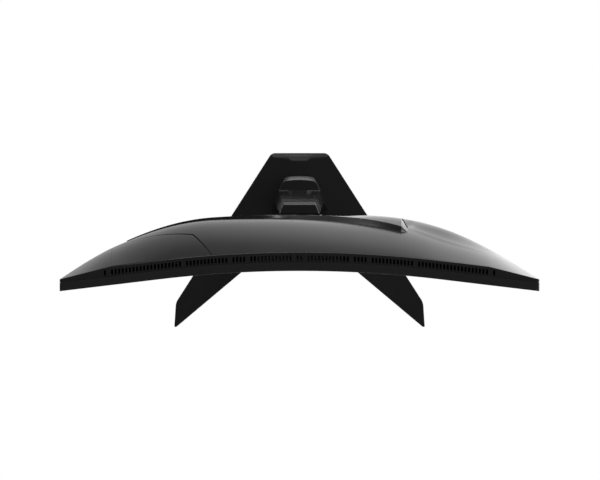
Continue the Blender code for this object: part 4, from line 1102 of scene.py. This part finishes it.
def base_outline(inset=0.0):
    """Right half of the A-shaped plate from its edge lines, then its mirror image."""
    edges = [((1, BASE_REAR), (0, BASE_REAR)), ((KNEE_HALF, KNEE_Y), (BASE_REAR_HALF, BASE_REAR)),
             ((TIP_HALF, BASE_FRONT), (KNEE_HALF, KNEE_Y)), ((0, BASE_FRONT), (1, BASE_FRONT)),
             ((0, CROTCH_Y), (TIP_INNER, BASE_FRONT)),
             ((-1, CROTCH_Y - CROTCH_FLAT), (0, CROTCH_Y - CROTCH_FLAT))]
    lines = [line_through(*edge, inset) for edge in edges]
    if inset:
        lines[0] = line_through(*edges[0], inset * POCKET_REAR_WALLS)
        lines[3] = line_through(*edges[3], inset * POCKET_FRONT_WALLS)
    right = [crossing(first, second) for first, second in zip(lines, lines[1:])]
    return right + [(-x, y) for x, y in reversed(right)]


FACET_START = 0.1045            # the rear facet's front border: an arc
FACET_END = 0.1097
FACET_FALL = 0.40


def facet_tool():
    """A tilted, arched tool that takes the lens-shaped facet off the plate's rear edge."""
    deselect()
    bpy.ops.mesh.primitive_grid_add(x_subdivisions=24, y_subdivisions=6, size=1.0)
    tool = named("facet")
    for vertex in tool.data.vertices:
        x, y = vertex.co.x * 0.12, 0.110 + vertex.co.y * 0.030
        border = FACET_START + (FACET_END - FACET_START) * (x / BASE_REAR_HALF) ** 2
        vertex.co = (x, y, BASE_TOP - FACET_FALL * (y - border))
    with edit_mode(tool):
        extrude_all((0, 0, 0.03))
    outwards(tool)
    return tool


# Corners between two places along Y: the rear ones, those at the knees and the crotch, the tips.
CORNER_ROUNDS = ((BASE_REAR - 0.01, 1.0, 0.0045, 5), (-0.1, CROTCH_Y, 0.004, 4), (-1.0, -0.11, 0.0012, 3))


def make_base():
    """The A-shaped plate with its rear facet, hollow for the steel under it and bored for the screw."""
    base = plate("base_plate", base_outline(), "Z", BASE_LOW.z, BASE_TOP)
    with edit_mode(base) as mesh:
        for low, high, width, segments in CORNER_ROUNDS:
            bevel_edges(mesh, width, segments,
                        lambda edge: upright(edge) and low < edge.verts[0].co.y < high)
    carve(base, facet_tool())
    soften(base, 0.0009, 3, 50)
    pocket = plate("pocket", base_outline(POCKET_WALL), "Z", 0.0, PLATE_HIGH.z + GAP)
    carve(base, pocket, barrel("screw_hole", "Z", (0, SCREW_Y), SCREW_HOLE_RADIUS, 0, BASE_TOP + 0.01, 32))
    complete(base, "stand", "base_paint", finish("base"), "base_cover", angle=30)


# ---------------- carried-over parts

PAINTED = {
    "steel": ("backlight_chassis", "board_shield", "vesa_bracket", "base_steel"),
    "black_steel": ("hinge_plate", "neck_bracket", "neck_core", "disc_spring_left", "disc_spring_right",
                    "joystick_ring", *[f"vesa_screw_{number}" for number in range(1, 5)]),
    "turned": ("hinge_shaft", "hinge_nut", "joystick_stem", "thumb_screw", "hdmi_socket_1", "hdmi_socket_2",
               "displayport_socket"),
    "board": ("main_board", "power_board", "panel_driver_board"),
    "film": ("optical_sheets", "light_guide"),
    "screen": ("lcd_panel",),
    "light_pipe": ("power_led_lens", "led_strip"),
    "cable": ("panel_cable", "led_cable"),
    "rubber": ("cable_grommet", *[f"rubber_foot_{number}" for number in range(1, 7)]),
    "housing": ("port_bay",),
    "trim": ("joystick_cap", "power_button"),
    "socket": ("joystick_switch", "power_switch", "dc_inlet", "audio_socket"),
}


def paint_inner_parts():
    for name, nodes in PAINTED.items():
        for node in nodes:
            paint(node, finish(name))


# ---------------- stage

def make_floor():
    """A plain pale floor. What the object reflects of it grows brighter to the right."""
    deselect()
    bpy.ops.mesh.primitive_plane_add(size=60.0, location=(0, 0, -0.0004))
    floor = settle(named("studio_floor"))
    material, tree, shader = new_material("lit_floor")
    place = object_place(tree)
    parts = add_node(tree, "ShaderNodeSeparateXYZ", {0: place})
    distance = add_node(tree, "ShaderNodeVectorMath", {0: place}, operation="LENGTH").outputs[1]
    far = remap(tree, distance, 0.75, 1.4, 0.0, 1.0)
    near_level = remap(tree, parts.outputs[0], -0.45, 0.45, 0.35, studio().near_right)
    far_level = remap(tree, parts.outputs[0], -1.0, 2.0, 0.02, studio().far_right)
    level = mix_values(tree, far, near_level, far_level)
    seen = tree.nodes.new("ShaderNodeLightPath").outputs["Is Camera Ray"]
    glow = mix_values(tree, seen, level, studio().floor)
    colour = add_node(tree, "ShaderNodeCombineXYZ", {0: glow, 1: glow, 2: glow}).outputs[0]
    shader.inputs["Base Color"].default_value = (0.02, 0.02, 0.02, 1)
    shader.inputs["Roughness"].default_value = 0.9
    shader.inputs["Specular IOR Level"].default_value = 0.0
    tree.links.new(colour, shader.inputs["Emission Color"])
    shader.inputs["Emission Strength"].default_value = 1.0
    floor.data.materials.append(material)


def make_surround():
    """A pale tent: bright around, dim overhead, brighter on the right."""
    world = bpy.data.worlds.new("studio_tent")
    bpy.context.scene.world = world
    world.use_nodes = True
    tree = world.node_tree
    light = tree.nodes["Background"]
    light.inputs["Color"].default_value = (1, 1, 1, 1)
    direction = tree.nodes.new("ShaderNodeTexCoord").outputs["Generated"]
    parts = add_node(tree, "ShaderNodeSeparateXYZ", {0: direction})
    height = add_node(tree, "ShaderNodeMapRange", {
        "Value": parts.outputs[2], "From Min": 0.10, "From Max": 0.92, "To Min": studio().horizon,
        "To Max": studio().zenith}, interpolation_type="SMOOTHSTEP").outputs[0]
    side = remap(tree, parts.outputs[0], -0.7, 0.7, 0.25, 1.45)
    tree.links.new(maths(tree, "MULTIPLY", height, side), light.inputs["Strength"])


def make_soft_box():
    """A large soft light behind the object, a little to the right."""
    data = bpy.data.lights.new("soft_box", "AREA")
    data.shape = "RECTANGLE"
    data.size = 2.2
    data.size_y = 1.0
    data.energy = studio().soft_box
    lamp = bpy.data.objects.new("soft_box", data)
    lamp.location = (0.5, 3.0, 1.6)
    lamp.rotation_euler = (Vector((0, 0, 0.2)) - lamp.location).to_track_quat("-Z", "Y").to_euler()
    bpy.context.scene.collection.objects.link(lamp)


SENSOR_WIDTH = 36.0             # millimetres


def make_camera():
    camera_data = bpy.data.cameras.new("view_from_above")
    camera_data.sensor_width = SENSOR_WIDTH
    camera_data.lens = SENSOR_WIDTH * studio().camera_height / studio().view_width
    camera = bpy.data.objects.new("view_from_above", camera_data)
    camera.location = (0.0006, 0.0, HEAD_TOP + studio().camera_height)
    bpy.context.scene.collection.objects.link(camera)
    bpy.context.scene.camera = camera


# ---------------- operators

class MONITOR_OT_stage(bpy.types.Operator):
    """Lay the floor, light the surround and set up the camera"""
    bl_idname = "monitor.stage"
    bl_label = "Studio"

    def execute(self, context):
        make_floor()
        make_surround()
        make_soft_box()
        make_camera()
        context.scene.view_settings.view_transform = "Standard"
        return {"FINISHED"}


class MONITOR_OT_rear_cover(bpy.types.Operator):
    """Model the back of the head"""
    bl_idname = "monitor.rear_cover"
    bl_label = "Rear cover"

    def execute(self, context):
        make_rear_cover()
        return {"FINISHED"}


class MONITOR_OT_back_panels(bpy.types.Operator):
    """Model the middle panel and the wing panel"""
    bl_idname = "monitor.back_panels"
    bl_label = "Back panels"

    def execute(self, context):
        make_middle_panel()
        make_wing_panel()
        return {"FINISHED"}


class MONITOR_OT_bezel(bpy.types.Operator):
    """Model the frame around the screen and the chin"""
    bl_idname = "monitor.bezel"
    bl_label = "Bezel"

    def execute(self, context):
        make_bezel()
        return {"FINISHED"}


class MONITOR_OT_neck(bpy.types.Operator):
    """Model the column and its foot"""
    bl_idname = "monitor.neck"
    bl_label = "Column"

    def execute(self, context):
        make_neck()
        return {"FINISHED"}


class MONITOR_OT_base(bpy.types.Operator):
    """Model the A-shaped base"""
    bl_idname = "monitor.base"
    bl_label = "Base"

    def execute(self, context):
        make_base()
        return {"FINISHED"}


class MONITOR_OT_inner_parts(bpy.types.Operator):
    """Finish the parts inside the housing"""
    bl_idname = "monitor.inner_parts"
    bl_label = "Inner parts"

    def execute(self, context):
        paint_inner_parts()
        return {"FINISHED"}


OPERATORS = (MONITOR_OT_stage, MONITOR_OT_inner_parts, MONITOR_OT_rear_cover, MONITOR_OT_back_panels,
             MONITOR_OT_bezel, MONITOR_OT_neck, MONITOR_OT_base)


class MONITOR_PT_panel(bpy.types.Panel):
    """Steps that build the monitor"""
    bl_idname = "MONITOR_PT_panel"
    bl_label = "Monitor"
    bl_space_type = "VIEW_3D"
    bl_region_type = "UI"
    bl_category = "Monitor"

    def draw(self, context):
        for operator in OPERATORS:
            self.layout.operator(operator.bl_idname)


CLASSES = (MonitorSizes, MonitorColours, StudioSettings, *OPERATORS, MONITOR_PT_panel)


def register():
    for item in CLASSES:
        bpy.utils.register_class(item)
    bpy.types.Scene.monitor_sizes = PointerProperty(type=MonitorSizes)
    bpy.types.Scene.monitor_colours = PointerProperty(type=MonitorColours)
    bpy.types.Scene.monitor_studio = PointerProperty(type=StudioSettings)


def unregister():
    del bpy.types.Scene.monitor_studio
    del bpy.types.Scene.monitor_colours
    del bpy.types.Scene.monitor_sizes
    for item in reversed(CLASSES):
        bpy.utils.unregister_class(item)


def main():
    register()
    grain_group()
    brushed_group()
    for operator in OPERATORS:
        group, name = operator.bl_idname.split(".")
        getattr(getattr(bpy.ops, group), name)()


if __name__ == "__main__":
    main()
